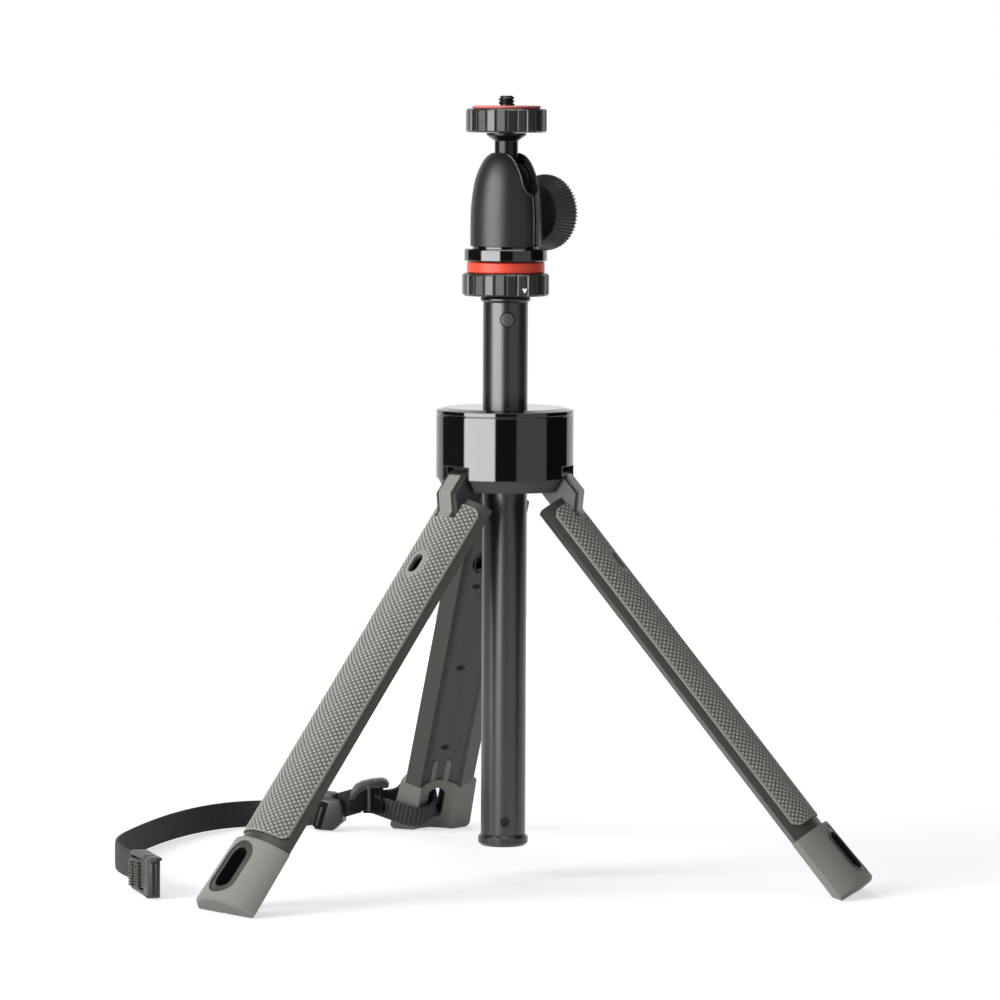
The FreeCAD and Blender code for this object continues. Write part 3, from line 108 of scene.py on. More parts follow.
SCREW_HEAD = [
    (0, -3.2), (0.8, -3.2), (0.8, 0.05), (1.55, 0.05), (1.58, 0.4), (1.4, 0.68), (0.85, 0.74),
    (0.78, 0.68), (0.74, 0.25), (0, 0.2),
]
FOOT_R, FOOT_END_R = 18.8, 19.9
FOOT_LENGTH, FOOT_TOP = 28.6, 175.4
SLOT_AT, SLOT_LENGTH, SLOT_WIDTH = 189.0, 18.0, 7.2
SLOT_RIM_LENGTH, SLOT_RIM_WIDTH = 24.0, 13.4
RECESS_DEPTH = 0.95
COLLAR_CLEAR, COLLAR_WALL, COLLAR_RISE = 0.3, 2.7, 0.4
LINING_CLEAR, LINING_WALL, LINING_PROUD, LINING_DEPTH = 0.06, 0.25, 0.35, 5.0

# Strap, its width on edge
STRAP_WIDTH, STRAP_THICK = 11.0, 1.3
STRAP_ROUTE = [
    (-59.0, 127.2, 13.2), (-67.0, 126.8, 11.0), (-78.0, 129.0, 7.4), (-90.0, 134.5, 6.0),
    (-103.0, 137.0, 5.8), (-115.0, 131.0, 5.8), (-125.5, 118.5, 5.8), (-134.5, 101.0, 5.8),
    (-142.0, 80.0, 5.8), (-148.5, 56.0, 5.8), (-153.3, 32.0, 6.0), (-153.4, 11.5, 6.5),
    (-150.2, -5.5, 7.1), (-145.3, -20.5, 7.5), (-140.9, -34.5, 7.8),
]
LOOP_ROUTE = [
    (15.0, 25.4), (13.8, 16.6), (20.9, 11.2), (22.6, 0.6), (14.1, -0.9), (7.9, 0.3),
    (3.2, 7.6), (8.0, 17.6), (12.4, 25.4),
]
LOOP_AT = 191.8
STRAP_RIBS, LOOP_RIBS = (0.1, 2.2), (0.5, 1.75)  # share of the thickness, pitch
LINE_STEPS = 24
RIBBON_SIDES = 24
CLIP_AT = (-56.6, 126.6, 13.8)
CLIP_CAP = [
    (-7.6, -0.4), (-6.9, 2.9), (-5.1, 5.5), (-2.4, 6.9), (1.6, 7.9), (5.6, 8.3), (7.6, 8.0),
    (9.0, 6.6), (9.1, 4.9), (7.6, 4.7), (3.0, 4.6), (-1.0, 3.7), (-3.4, 2.2), (-4.9, 0.4),
    (-5.6, -0.4),
]
CLIP_HEEL = [
    (-7.0, -5.4), (-7.0, 0.4), (-4.4, 1.0), (-2.6, 2.9), (0.0, 4.6), (0.6, -4.2), (-3.5, -5.4),
]
SLIDER_RUN, SLIDER_Z = 1, 8.0
SLIDER_DEPTH, SLIDER_WALL, SLIDER_LEAN, BAR_LEAN = 9.6, 1.5, 17.0, -9.0
SLIDER_FRONT = [
    (-5.6, -7.2), (-3.8, 4.4), (-2.0, 5.9), (5.6, 5.6), (6.6, 1.9), (5.6, -4.4), (2.4, -7.6),
]
SLIDER_TAB = [(-2.6, 5.0), (-2.4, 8.4), (2.6, 7.9), (3.6, 5.0)]
BUCKLE_THICK, BUCKLE_HEIGHT, BUCKLE_WALL = 6.4, 15.0, 1.7
BUCKLE_LOOP_HALF, BUCKLE_BACK_AT = 11.6, 2.5
BUCKLE_BACK = [(2.4, -5.9), (2.4, 5.9), (22.0, 5.9), (22.0, -5.9)]
LEVER_PIN_AT, LEVER_TIP_AT, LEVER_TIP = 17.4, 8.4, 0.9
LEVER_PROUD, LEVER_FLARE, LEVER_SUNK, LEVER_CLEAR = 0.6, 1.8, 1.6, 0.35
LEVER_TEETH, TOOTH, TOOTH_LEAN, TOOTH_COLUMNS = 10, (2.7, 1.9, 0.62), 0.22, (1.7, 5.3)

# Head and pole
TUBE_R, POLE_TURN = 8.75, 5.0
BUTTON_R, BUTTON_Z = 2.6, 220.0
MARK_R, MARK_TURN = 16.85, 25.6
MARK_Z = joint_height("lock_ring_turn") - 2.0
CLAMP_Z = joint_height("clamp_knob_turn")
KNOB_NEAR, KNOB_FAR, KNOB_END = 18.6, 27.0, 29.0
KNOB_NEAR_R, KNOB_R, KNOB_END_R = 11.6, 14.5, 13.4
KNOB_TEETH, KNOB_TOOTH_RISE, KNOB_VALLEY = 64, 0.62, -0.5
BALL_Z, BALL_AT = joint_height("ball_tilt"), 24.7
DOME_Z = BALL_Z - BALL_AT
DOME_PROFILE = [Vector(p) for p in ((13.9, 9.0), (12.75, 23.0), (9.3, 32.7), (5.7, 36.3))]
STEM_SLOT_R, SLIT_HALF = 4.8, 0.8
LIP_R, LIP_POINTS = 0.3, 12
LIP_START, LIP_STRAIGHTS, LIP_PITCH, LIP_END = 0.6, 10, 1.1, 0.4
DISC_Z = BALL_Z + 19.6
DISC_TOP = DISC_Z + 9.2
PAD_THICKNESS = 1.2
CAMERA_SCREW_R, CAMERA_SCREW_PROUD = 3.175, 3.9
THREAD_PITCH, THREAD_DEPTH, THREAD_CREST, THREAD_STEPS = 1.27, 0.62, 0.12, 48
THREAD_START, SCREW_SHANK_R, SCREW_SUNK = 0.45, 3.0, 12.0

NEARLY = 0.01  # what the radius of a round end lacks to half the width
HARDWARE_SMOOTH, LEG_SMOOTH, HEAD_SMOOTH = 35, 40, 30  # degrees

RELIEF = "relief"
PIT_DEPTH = 0.02
# The clamp knob's lighter finish is painted fill light; the button's grey is its own.
OWN_FINISH = {"clamp_knob": "knob", "release_button": "button"}


def srgb(red, green, blue):
    """A colour written as 0 to 255, as the linear colour that a shader takes."""
    def linear(c):
        c /= 255.0
        return c / 12.92 if c <= 0.04045 else ((c + 0.055) / 1.055) ** 2.4
    return (linear(red), linear(green), linear(blue), 1.0)


def add_object(name, data):
    """An object with this data, in the scene."""
    obj = bpy.data.objects.new(name, data)
    bpy.context.scene.collection.objects.link(obj)
    return obj


def move(x, y, z):
    """A matrix that moves by so many millimetres."""
    return Matrix.Translation((x, y, z))


def rotate(degrees, axis):
    """A matrix that turns about X, Y or Z."""
    return Matrix.Rotation(math.radians(degrees), 4, axis)


def place_camera():
    """The camera of the photograph: a lens tilted down, the picture turned a little clockwise."""
    data = bpy.data.cameras.new("camera")
    data.lens, data.sensor_width = LENS, SENSOR
    data.clip_start, data.clip_end = 0.05, 50.0
    camera = add_object("camera", data)
    tilt = rotate(90 - CAMERA_PITCH, "X")
    roll = rotate(CAMERA_ROLL, "Z")
    camera.matrix_world = Matrix.Translation(Vector(CAMERA_AT) * MM) @ tilt @ roll
    bpy.context.scene.camera = camera


def leg_matrix(name):
    """From a leg's folded place about +X to where it stands open, in millimetres."""
    joint = joints[name + "_leg_fold"]
    x, y, z = (v / MM for v in joint["pos_m"])
    hinge = Vector((math.hypot(x, y), 0, z))
    spread = rotate(-joint["range_deg"][1], "Y")
    about = Matrix.Translation(hinge) @ spread @ Matrix.Translation(-hinge)
    return Matrix.Rotation(math.atan2(y, x), 4, "Z") @ about


def below(length):
    """The height that lies this far below the hinge axis, in a folded leg."""
    return HINGE_Z - length


def head_matrix():
    """Turns a head piece from its slot towards +X to where the slot faces."""
    x, y, _ = joints["ball_tilt"]["axis"]
    return Matrix.Rotation(math.atan2(-x, y), 4, "Z")


def add_piece(name, bm, body, look, place=Matrix.Identity(4), smooth=None):
    """An object from a mesh in millimetres, placed, given its finish and set on its body.

    smooth is the angle in degrees below which edges are shaded smooth."""
    bmesh.ops.transform(bm, matrix=TO_METRES @ place, verts=bm.verts)
    if not any(e.is_boundary for e in bm.edges) and bm.calc_volume(signed=True) < 0:
        bmesh.ops.reverse_faces(bm, faces=bm.faces)
    mesh = bpy.data.meshes.new(name)
    bm.to_mesh(mesh)
    bm.free()
    obj = add_object(name, mesh)
    mesh.materials.append(FINISHES[look])
    if smooth is not None:
        mesh.shade_smooth()
        mesh.set_sharp_from_angle(angle=math.radians(smooth))
    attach(obj, body)
    return obj


def add_to_leg(leg, piece, bm, look, smooth=LEG_SMOOTH):
    """A piece shaped in a leg's folded place, set on the leg that it is for."""
    return add_piece(f"{leg}_{piece}", bm, leg + "_leg", look, leg_matrix(leg), smooth)


def add_hardware(name, parts, place, body="rear_leg", look="buckle"):
    """A piece of the strap's hardware from its parts."""
    return add_piece(name, gathered(parts), body, look, place, HARDWARE_SMOOTH)


def turned(profile, steps=64):
    """A closed body of revolution about +Z from (radius, height) points, from axis to axis."""
    bm = bmesh.new()
    verts = [bm.verts.new((r, 0, z)) for r, z in profile]
    edges = [bm.edges.new(pair) for pair in zip(verts, verts[1:])]
    bmesh.ops.spin(
        bm, geom=verts + edges, cent=(0, 0, 0), axis=(0, 0, 1), angle=2 * math.pi,
        steps=steps, use_merge=True,
    )
    bmesh.ops.remove_doubles(bm, verts=bm.verts, dist=1e-4)
    bmesh.ops.recalc_face_normals(bm, faces=bm.faces)
    return bm


def washer(profile, steps):
    """A ring of revolution about +Z from a closed loop of (radius, height) points."""
    return turned(profile + profile[:1], steps)


def shader_group(name, inputs, outputs):
    """A shader node group with named sockets, the values it is given, and its output node."""
    tree = bpy.data.node_groups.new(name, "ShaderNodeTree")
    for in_out, sockets in (("INPUT", inputs), ("OUTPUT", outputs)):
        for label, kind in sockets.items():
            tree.interface.new_socket(name=label, in_out=in_out, socket_type="NodeSocket" + kind)
    return tree, tree.nodes.new("NodeGroupInput").outputs, tree.nodes.new("NodeGroupOutput")


def feed(node, *ordered, **named):
    """Gives a node its inputs, in order or by name with _ for a blank, and returns the node.

    An input is linked where it is given another node's output, else it is a constant."""
    pairs = list(zip(node.inputs, ordered))
    pairs += [(node.inputs[label.replace("_", " ")], value) for label, value in named.items()]
    for socket, value in pairs:
        if isinstance(value, bpy.types.NodeSocket):
            node.id_data.links.new(value, socket)
        else:
            socket.default_value = value
    return node


def add_node(tree, kind, *ordered, **named):
    """A new shader node with its inputs."""
    return feed(tree.nodes.new("ShaderNode" + kind), *ordered, **named)


def math_node(tree, operation, *values):
    """A Math node of values that are sockets or numbers. Returns its output."""
    node = add_node(tree, "Math")
    node.operation = operation
    return feed(node, *values).outputs[0]


def plus(tree, a, b):
    """The sum of two values."""
    return math_node(tree, "ADD", a, b)


def times(tree, a, b):
    """The product of two values."""
    return math_node(tree, "MULTIPLY", a, b)


def scaled(tree, value, factor, offset):
    """A value times a factor, plus an offset."""
    return math_node(tree, "MULTIPLY_ADD", value, factor, offset)


def use_group(tree, group, **values):
    """A node that stands for a shader group, with its inputs."""
    node = add_node(tree, "Group")
    node.node_tree = group
    return feed(node, **values)


def new_material(name, **values):
    """A material, its nodes, and its shader with its inputs."""
    material = bpy.data.materials.new(name)
    material.use_nodes = True
    tree = material.node_tree
    return material, tree, feed(tree.nodes["Principled BSDF"], **values)


def coordinates(tree, kind):
    """One kind of texture coordinates."""
    return add_node(tree, "TexCoord").outputs[kind]


def components(tree, vector):
    """The X, Y and Z of a vector."""
    return add_node(tree, "SeparateXYZ", vector).outputs


def remap(tree, value, low, high, to_low=0.0, to_high=1.0):
    """A value moved from one range to another, clamped."""
    return add_node(tree, "MapRange", value, low, high, to_low, to_high).outputs[0]


def noise(tree, scale, detail):
    """A noise value on Object coordinates, its scale in turns per metre."""
    place = coordinates(tree, "Object")
    return add_node(tree, "TexNoise", Vector=place, Scale=scale, Detail=detail).outputs["Fac"]


def tinted(tree, colour, factor):
    """A colour made lighter or darker by a factor socket."""
    grey = add_node(tree, "CombineColor", factor, factor, factor).outputs[0]
    node = add_node(tree, "Mix")
    node.data_type, node.blend_type = "RGBA", "MULTIPLY"
    return feed(node, Factor=1.0, A=colour, B=grey).outputs["Result"]


def moulded_grain():
    """Fine grain of a moulded or anodised surface: cloudy tone, uneven polish and tiny pits."""
    tree, given, result = shader_group(
        "moulded_grain",
        {"Colour": "Color", "Roughness": "Float", "Grain": "Float", "Tone spread": "Float",
         "Polish spread": "Float"},
        {"Colour": "Color", "Roughness": "Float", "Height": "Float"},
    )
    cloud = noise(tree, 45.0, 3.0)
    fine = noise(tree, given["Grain"], 2.0)
    both = plus(tree, times(tree, cloud, 0.55), times(tree, fine, 0.45))
    centred = plus(tree, both, -0.5)
    tone = scaled(tree, centred, given["Tone spread"], 1.0)
    uneven = plus(tree, cloud, -0.5)
    rough = plus(tree, given["Roughness"], times(tree, uneven, given["Polish spread"]))
    feed(result, tinted(tree, given["Colour"], tone), rough, fine)
    return tree


def edge_lightening():
    """Where a surface turns sharply, a painted highlight makes it lighter. Mask from a rounded normal."""
    tree, given, result = shader_group(
        "edge_lightening", {"Colour": "Color", "Rounded": "Vector", "Amount": "Float"},
        {"Colour": "Color"},
    )
    surface = add_node(tree, "NewGeometry").outputs["True Normal"]
    dot = add_node(tree, "VectorMath", surface, given["Rounded"])
    dot.operation = "DOT_PRODUCT"
    turn = remap(tree, dot.outputs["Value"], 0.985, 0.8)
    factor = scaled(tree, turn, given["Amount"], 1.0)
    feed(result, tinted(tree, given["Colour"], factor))
    return tree


def weave():
    """Woven ribs from a band's own UV map: rows across it, and finer threads along it."""
    tree, given, result = shader_group(
        "weave",
        {"Colour": "Color", "Rib pitch": "Float", "Thread pitch": "Float",
         "Depth of tone": "Float"},
        {"Colour": "Color", "Height": "Float"},
    )
    along, across, _ = components(tree, coordinates(tree, "UV"))

    def wave(place, pitch):
        """A value that swings between 0 and 1, from metres and a pitch in millimetres."""
        turns = math_node(tree, "DIVIDE", place, times(tree, pitch, MM))
        swing = math_node(tree, "SINE", times(tree, turns, 2 * math.pi))
        return scaled(tree, swing, 0.5, 0.5)

    thread = wave(across, given["Thread pitch"])
    half_deep = scaled(tree, thread, 0.5, 0.5)
    dots = times(tree, wave(along, given["Rib pitch"]), half_deep)
    height = scaled(tree, noise(tree, 4200.0, 2.0), 0.35, dots)
    centred = plus(tree, height, -0.6)
    lit = plus(tree, times(tree, given["Depth of tone"], centred), 1.0)
    feed(result, tinted(tree, given["Colour"], lit), height)
    return tree


GRAIN = moulded_grain()
EDGES = edge_lightening()
WEAVE = weave()


def finish(name, colour, roughness, grain=2500.0, tone=0.12, polish=0.08, bump=0.06, edge=0.35,
           rounding=0.25, painted_relief_shading=None, **constants):
    """A material: grain in colour, polish and bump, softened edges lightened by a painted highlight, and constants
    on the shader.

    For a mesh whose relief is an attribute, the two relief tones paint shade in its hollows and a highlight on its
    tops."""
    material, tree, shader = new_material(name, **constants)
    group = use_group(
        tree, GRAIN, Colour=srgb(*colour), Roughness=roughness, Grain=grain, Tone_spread=tone,
        Polish_spread=polish,
    ).outputs
    bevel = add_node(tree, "Bevel", Radius=rounding * MM)
    bevel.samples = 4
    rounded = bevel.outputs["Normal"]
    # Sharp edges are lightened with a painted highlight.
    highlighted = use_group(tree, EDGES, Colour=group["Colour"], Rounded=rounded, Amount=edge)
    base = highlighted.outputs["Colour"]
    # Painted shade in the hollows and a painted highlight on the tops, by relief.
    if painted_relief_shading:
        relief = add_node(tree, "Attribute")
        relief.attribute_name = RELIEF
        base = tinted(tree, base, remap(tree, relief.outputs["Fac"], 0.0, 1.0, *painted_relief_shading))
    pits = add_node(
        tree, "Bump", Strength=bump, Distance=PIT_DEPTH * MM, Height=group["Height"],
        Normal=rounded,
    )
    feed(shader, Base_Color=base, Roughness=group["Roughness"], Normal=pits.outputs["Normal"])
    return material


def webbing_finish(name, colour, rib_pitch, depth):
    """Black webbing: woven ribs in colour and bump, and a soft sheen at grazing angles."""
    material, tree, shader = new_material(
        name, Roughness=0.7, Specular_IOR_Level=0.35, Sheen_Weight=0.06
    )
    woven = use_group(
        tree, WEAVE, Colour=srgb(*colour), Rib_pitch=rib_pitch, Thread_pitch=0.5,
        Depth_of_tone=depth,
    ).outputs
    bump = add_node(tree, "Bump", Strength=0.8, Distance=0.12 * MM, Height=woven["Height"])
    feed(shader, Base_Color=woven["Colour"], Normal=bump.outputs["Normal"])
    return material


FINISHES = {
    "grip": finish("grip_rubber", (140, 140, 134), 0.62, tone=0.2, bump=0.25),
    # The studs' hollows are painted darker and their tops lighter: painted shade and highlight.
    "stud": finish(
        "stud_rubber", (150, 150, 144), 0.6, tone=0.1, bump=0.1, edge=0.0, rounding=0.05,
        painted_relief_shading=(0.1, 1.95),
    ),
    "foot": finish("foot_rubber", (134, 135, 129), 0.55, tone=0.16, bump=0.3, rounding=0.5),
    "shell": finish("leg_shell_plastic", (66, 66, 61), 0.42, tone=0.16, bump=0.2, rounding=0.45),
    "yoke": finish("yoke_plastic", (136, 137, 131), 0.42, bump=0.12, rounding=0.45, edge=1.2),
    "gloss": finish(
        "gloss_black", (17, 17, 14), 0.035, tone=0.05, polish=0.02, bump=0.0, rounding=0.5,
        IOR=1.75,
    ),
    "black": finish("satin_black", (40, 40, 38), 0.3, edge=0.7, rounding=0.3, IOR=1.62),
    "tube": finish(
        "anodised_tube", (24, 24, 23), 0.31, grain=3200.0, polish=0.05, bump=0.05, IOR=1.74
    ),
    "head": finish("head_plastic", (37, 37, 35), 0.4, bump=0.12, rounding=0.5, edge=3.0),
    "accent": finish("red_ring", (250, 86, 64), 0.4, tone=0.06, edge=0.1),
    "pad": finish("red_pad", (222, 128, 118), 0.6, tone=0.1, edge=0.1),
    "steel": finish("bright_steel", (190, 190, 190), 0.28, Metallic=1.0),
    "dark_steel": finish("black_steel", (46, 46, 44), 0.3, Metallic=0.8),
    "webbing": finish("webbing", (34, 34, 32), 0.8),
    "buckle": finish("buckle_plastic", (44, 43, 40), 0.4, rounding=0.45, edge=2.2),
    # Near black. The slot lining and the adjuster's slot use it as painted shade, dark sheets where a slot lies in
    # shadow.
    "hollow": finish(
        "hollow_black", (15, 15, 14), 0.7, tone=0.05, edge=0.0, Specular_IOR_Level=0.12
    ),
    # The knob's plastic is lighter than the head's black: painted fill light on its shaded faces. The buckle lever
    # uses it too.
    "knob": finish("knob_plastic", (84, 84, 80), 0.34, rounding=0.2, edge=1.4),
    # The dome's slot lips are the head's plastic painted lighter: a painted highlight along the edges.
    "lip_highlight": finish("dome_edge_plastic", (84, 83, 78), 0.3, edge=0.0),
    "button": finish("button_plastic", (88, 88, 85), 0.36, rounding=0.3),
    # The pointer glows: painted light, so that its white shows on the face turned from the key lamp.
    "mark": finish(
        "pointer_white", (235, 235, 232), 0.5, tone=0.05, edge=0.0,
        Emission_Color=(1, 1, 1, 1), Emission_Strength=0.5,
    ),
    "band": webbing_finish("webbing_weave", (46, 45, 43), 1.1, 3.0),
    "loop": webbing_finish("webbing_ribbed", (58, 57, 58), LOOP_RIBS[1], 1.9),
}


def paint_bracket_shade(material):
    """Only the ribs of the yokes keep their grey. The brackets round them are painted with shade, nearly black."""
    tree = material.node_tree
    shader = tree.nodes["Principled BSDF"]
    plain = shader.inputs["Base Color"].links[0].from_socket
    x, y, z = components(tree, coordinates(tree, "Object"))

    def weighed(a, weight_a, b, weight_b):
        """The sum of two values, each times a number."""
        return scaled(tree, a, weight_a, times(tree, b, weight_b))

    ribs = 0.0
    for leg in LEGS:
        joint = joints[leg + "_leg_fold"]
        hinge_x, hinge_y, hinge_z = joint["pos_m"]
        hinge_r = math.hypot(hinge_x, hinge_y)
        spread = math.radians(joint["range_deg"][1])
        cosine, sine = hinge_x / hinge_r, hinge_y / hinge_r
        aside = math_node(tree, "ABSOLUTE", weighed(x, sine, y, -cosine))
        inside = remap(tree, aside, *soft_edge(RIB_HALF), 1.0, 0.0)
        out = plus(tree, weighed(x, cosine, y, sine), -hinge_r)
        drop = math_node(tree, "SUBTRACT", hinge_z, z)
        down = weighed(out, math.sin(spread), drop, math.cos(spread))
        rib = times(tree, inside, remap(tree, down, *soft_edge(RIB_TOP)))
        ribs = math_node(tree, "MAXIMUM", rib, ribs)
    # Painted shade: the brackets get this share of the rib's grey.
    tone = scaled(tree, ribs, 1.0 - BRACKET_SHADE, BRACKET_SHADE)
    feed(shader, Base_Color=tinted(tree, plain, tone))


def soft_edge(at):
    """Both sides of a soft edge in metres, from its place in millimetres."""
    return (at - RIB_SOFT) * MM, (at + RIB_SOFT) * MM


def dress_frame():
    """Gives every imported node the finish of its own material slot."""
    paint_bracket_shade(FINISHES["yoke"])
    slots = sorted((m["slot"] for m in frame["record"]["materials"]), key=len, reverse=True)
    for name, obj in nodes.items():
        old = obj.data.materials[0].name if obj.data.materials else ""
        slot = next((s for s in slots if old.startswith(s)), "black")
        obj.data.materials.clear()
        obj.data.materials.append(FINISHES[OWN_FINISH.get(name, slot)])


def reflected_level(tree):
    """The level of the surroundings by direction: two soft boxes, a backdrop and a ceiling."""
    x, y, z = components(tree, coordinates(tree, "Generated"))
    bearing = math_node(tree, "ARCTAN2", x, times(tree, y, -1.0))
    soft = math.radians(BOX_EDGE)

    def box(sides, level):
        """A level between two bearings, in degrees to the right of the front."""
        low, high = (math.radians(side) for side in sides)
        rise = remap(tree, bearing, low - soft, low + soft)
        fall = remap(tree, bearing, high - soft, high + soft, 1.0, 0.0)
        return times(tree, times(tree, rise, fall), level)

    both = plus(tree, box(LEFT_BOX, LEFT_BOX_LEVEL), box(RIGHT_BOX, RIGHT_BOX_LEVEL))
    boxes = times(tree, both, remap(tree, z, *BOX_TOP, 1.0, 0.0))
    wall = remap(tree, y, BACKDROP_FROM - BACKDROP_EDGE, BACKDROP_FROM + BACKDROP_EDGE)
    back = times(tree, wall, remap(tree, z, *BACKDROP_TOP, 1.0, 0.0))
    top = plus(tree, remap(tree, z, *CEILING, 0.0, CEILING_LEVEL), DARK_LEVEL)
    return plus(tree, plus(tree, boxes, back), top)


def light_studio():
    """White to the eye. Gloss sees the studio round the tripod, and matt surfaces a share of it."""
    bpy.context.scene.view_settings.view_transform = "Standard"
    world = bpy.data.worlds.new("studio")
    bpy.context.scene.world = world
    world.use_nodes = True
    tree = world.node_tree
    tree.nodes.clear()
    reflected = reflected_level(tree)
    ray = add_node(tree, "LightPath").outputs
    matt = scaled(tree, reflected, DIFFUSE_SHARE, AMBIENT)
    shown = add_node(tree, "Mix", Factor=ray["Is Glossy Ray"], A=matt, B=reflected)
    seen = math_node(tree, "MAXIMUM", shown.outputs["Result"], ray["Is Camera Ray"])
    background = add_node(tree, "Background", Color=(1, 1, 1, 1), Strength=seen)
    add_node(tree, "OutputWorld", Surface=background.outputs[0])


def hang_lamps():
    """The area lamps, which neither the eye nor gloss sees."""
    for name, place, target, size, power in LAMPS:
        data = bpy.data.lights.new(name, "AREA")
        data.shape, data.size, data.size_y = "RECTANGLE", *size
        data.energy = power
        lamp = add_object(name, data)
        aim = (Vector(target) - Vector(place)).to_track_quat("-Z", "Y")
        lamp.matrix_world = Matrix.Translation(place) @ aim.to_matrix().to_4x4()
        lamp.visible_camera = lamp.visible_glossy = False


def lay_floor():
    """The white floor. It glows, more further out, so that only the near shadows show on it."""
    bm = bmesh.new()
    bmesh.ops.create_circle(bm, cap_ends=True, segments=96, radius=FLOOR_R)
    mesh = bpy.data.meshes.new("floor")
    bm.to_mesh(mesh)
    bm.free()
    material, tree, shader = new_material(
        "floor_white", Base_Color=FLOOR_TONE, Roughness=0.9, Specular_IOR_Level=0.1,
        Emission_Color=(1, 1, 1, 1),
    )
    reach = add_node(tree, "VectorMath", coordinates(tree, "Object"))
    reach.operation = "LENGTH"
    glow = remap(tree, reach.outputs["Value"], *FLOOR_FADE, FLOOR_GLOW, 1.0)
    ray = add_node(tree, "LightPath").outputs
    seen = math_node(tree, "MAXIMUM", ray["Is Camera Ray"], ray["Is Glossy Ray"])
    feed(shader, Emission_Strength=times(tree, seen, glow))
    mesh.materials.append(material)
    floor = add_object("floor", mesh)


def outline_face(points):
    """A flat face in the plane of X and Y from the corners of its outline."""
    bm = bmesh.new()
    bm.faces.new([bm.verts.new((x, y, 0)) for x, y in points])
    bmesh.ops.recalc_face_normals(bm, faces=bm.faces)
    if next(iter(bm.faces)).normal.z < 0:
        bmesh.ops.reverse_faces(bm, faces=bm.faces)
    return bm


def rounded_outline(half_x, y0, y1, radius, corner_steps=5, run=2.0):
    """Corners of a rectangle with round corners, its long runs divided so that it can be bent."""
    points = []
    centres = [
        (half_x - radius, y0 + radius, -90), (half_x - radius, y1 - radius, 0),
        (radius - half_x, y1 - radius, 90), (radius - half_x, y0 + radius, 180),
    ]
    for x, y, start in centres:
        turns = [math.radians(start + 90 * i / corner_steps) for i in range(corner_steps + 1)]
        arc = [(x + radius * math.cos(turn), y + radius * math.sin(turn)) for turn in turns]
        if points:
            points += divided(points[-1], arc[0], run)
        points += arc
    return points + divided(points[-1], points[0], run)


def divided(a, b, run):
    """Points between two corners, about a run apart, without the corners."""
    count = int(math.dist(a, b) / run)
    steps = [i / count for i in range(1, count)]
    return [(a[0] + (b[0] - a[0]) * step, a[1] + (b[1] - a[1]) * step) for step in steps]


def bend_round_leg(bm, radius):
    """Bends a flat piece round a folded leg: X becomes arc, Y goes down from the hinge, Z out."""
    for vert in bm.verts:
        x, y, z = vert.co
        turn = x / GRIP_R
        r = (radius(y) if callable(radius) else radius) + z
        vert.co = (r * math.cos(turn), r * math.sin(turn), below(y))
    bmesh.ops.recalc_face_normals(bm, faces=bm.faces)
    outwards = sum(f.normal.x * f.calc_area() for f in bm.faces)
    if outwards < 0 and any(e.is_boundary for e in bm.edges):
        bmesh.ops.reverse_faces(bm, faces=bm.faces)


def extrude_up(bm, rise):
    """Thickens flat faces by moving a copy of them up, with walls between."""
    made = bmesh.ops.extrude_face_region(bm, geom=bm.faces[:])
    verts = [g for g in made["geom"] if isinstance(g, bmesh.types.BMVert)]
    bmesh.ops.translate(bm, vec=(0, 0, rise), verts=verts)
    return verts


def inset(bm, faces, wall):
    """Sets faces in from their common border by the width of a wall."""
    bmesh.ops.inset_region(
        bm, faces=faces, thickness=wall, use_even_offset=True, use_boundary=True
    )


def opened(bm, wall, middle=0.0):
    """Leaves only a rim of a flat face whose middle is at this Y."""
    inset(bm, bm.faces[:], wall)
    centre = Vector((0, middle, 0))
    inner = min(bm.faces, key=lambda f: (f.calc_center_median() - centre).length)
    bmesh.ops.delete(bm, geom=[inner], context="FACES_ONLY")
    return bm


def in_grip_field(x, y):
    """True where the grip has studs: inside its edge, clear of the yoke's notch and the hole."""
    edge = KNURL_MARGIN
    if abs(x) > GRIP_HALF - edge or not GRIP_TOP + edge < y < GRIP_END - edge:
        return False
    if abs(x) < YOKE_WIDTH / 2 + edge and y < YOKE_END + edge:
        return False
    corner_x, corner_y = GRIP_HALF - GRIP_CORNER, min(y - GRIP_TOP, GRIP_END - y) - GRIP_CORNER
    if abs(x) > corner_x and corner_y < 0:
        if math.hypot(abs(x) - corner_x, corner_y) > GRIP_CORNER - edge:
            return False
    run = (LEG_HOLE_LENGTH - LEG_HOLE_WIDTH) / 2
    along = max(abs(y - LEG_HOLE_AT) - run, 0)
    return math.hypot(x, along) > LEG_HOLE_WIDTH / 2 + HOLE_MARGIN


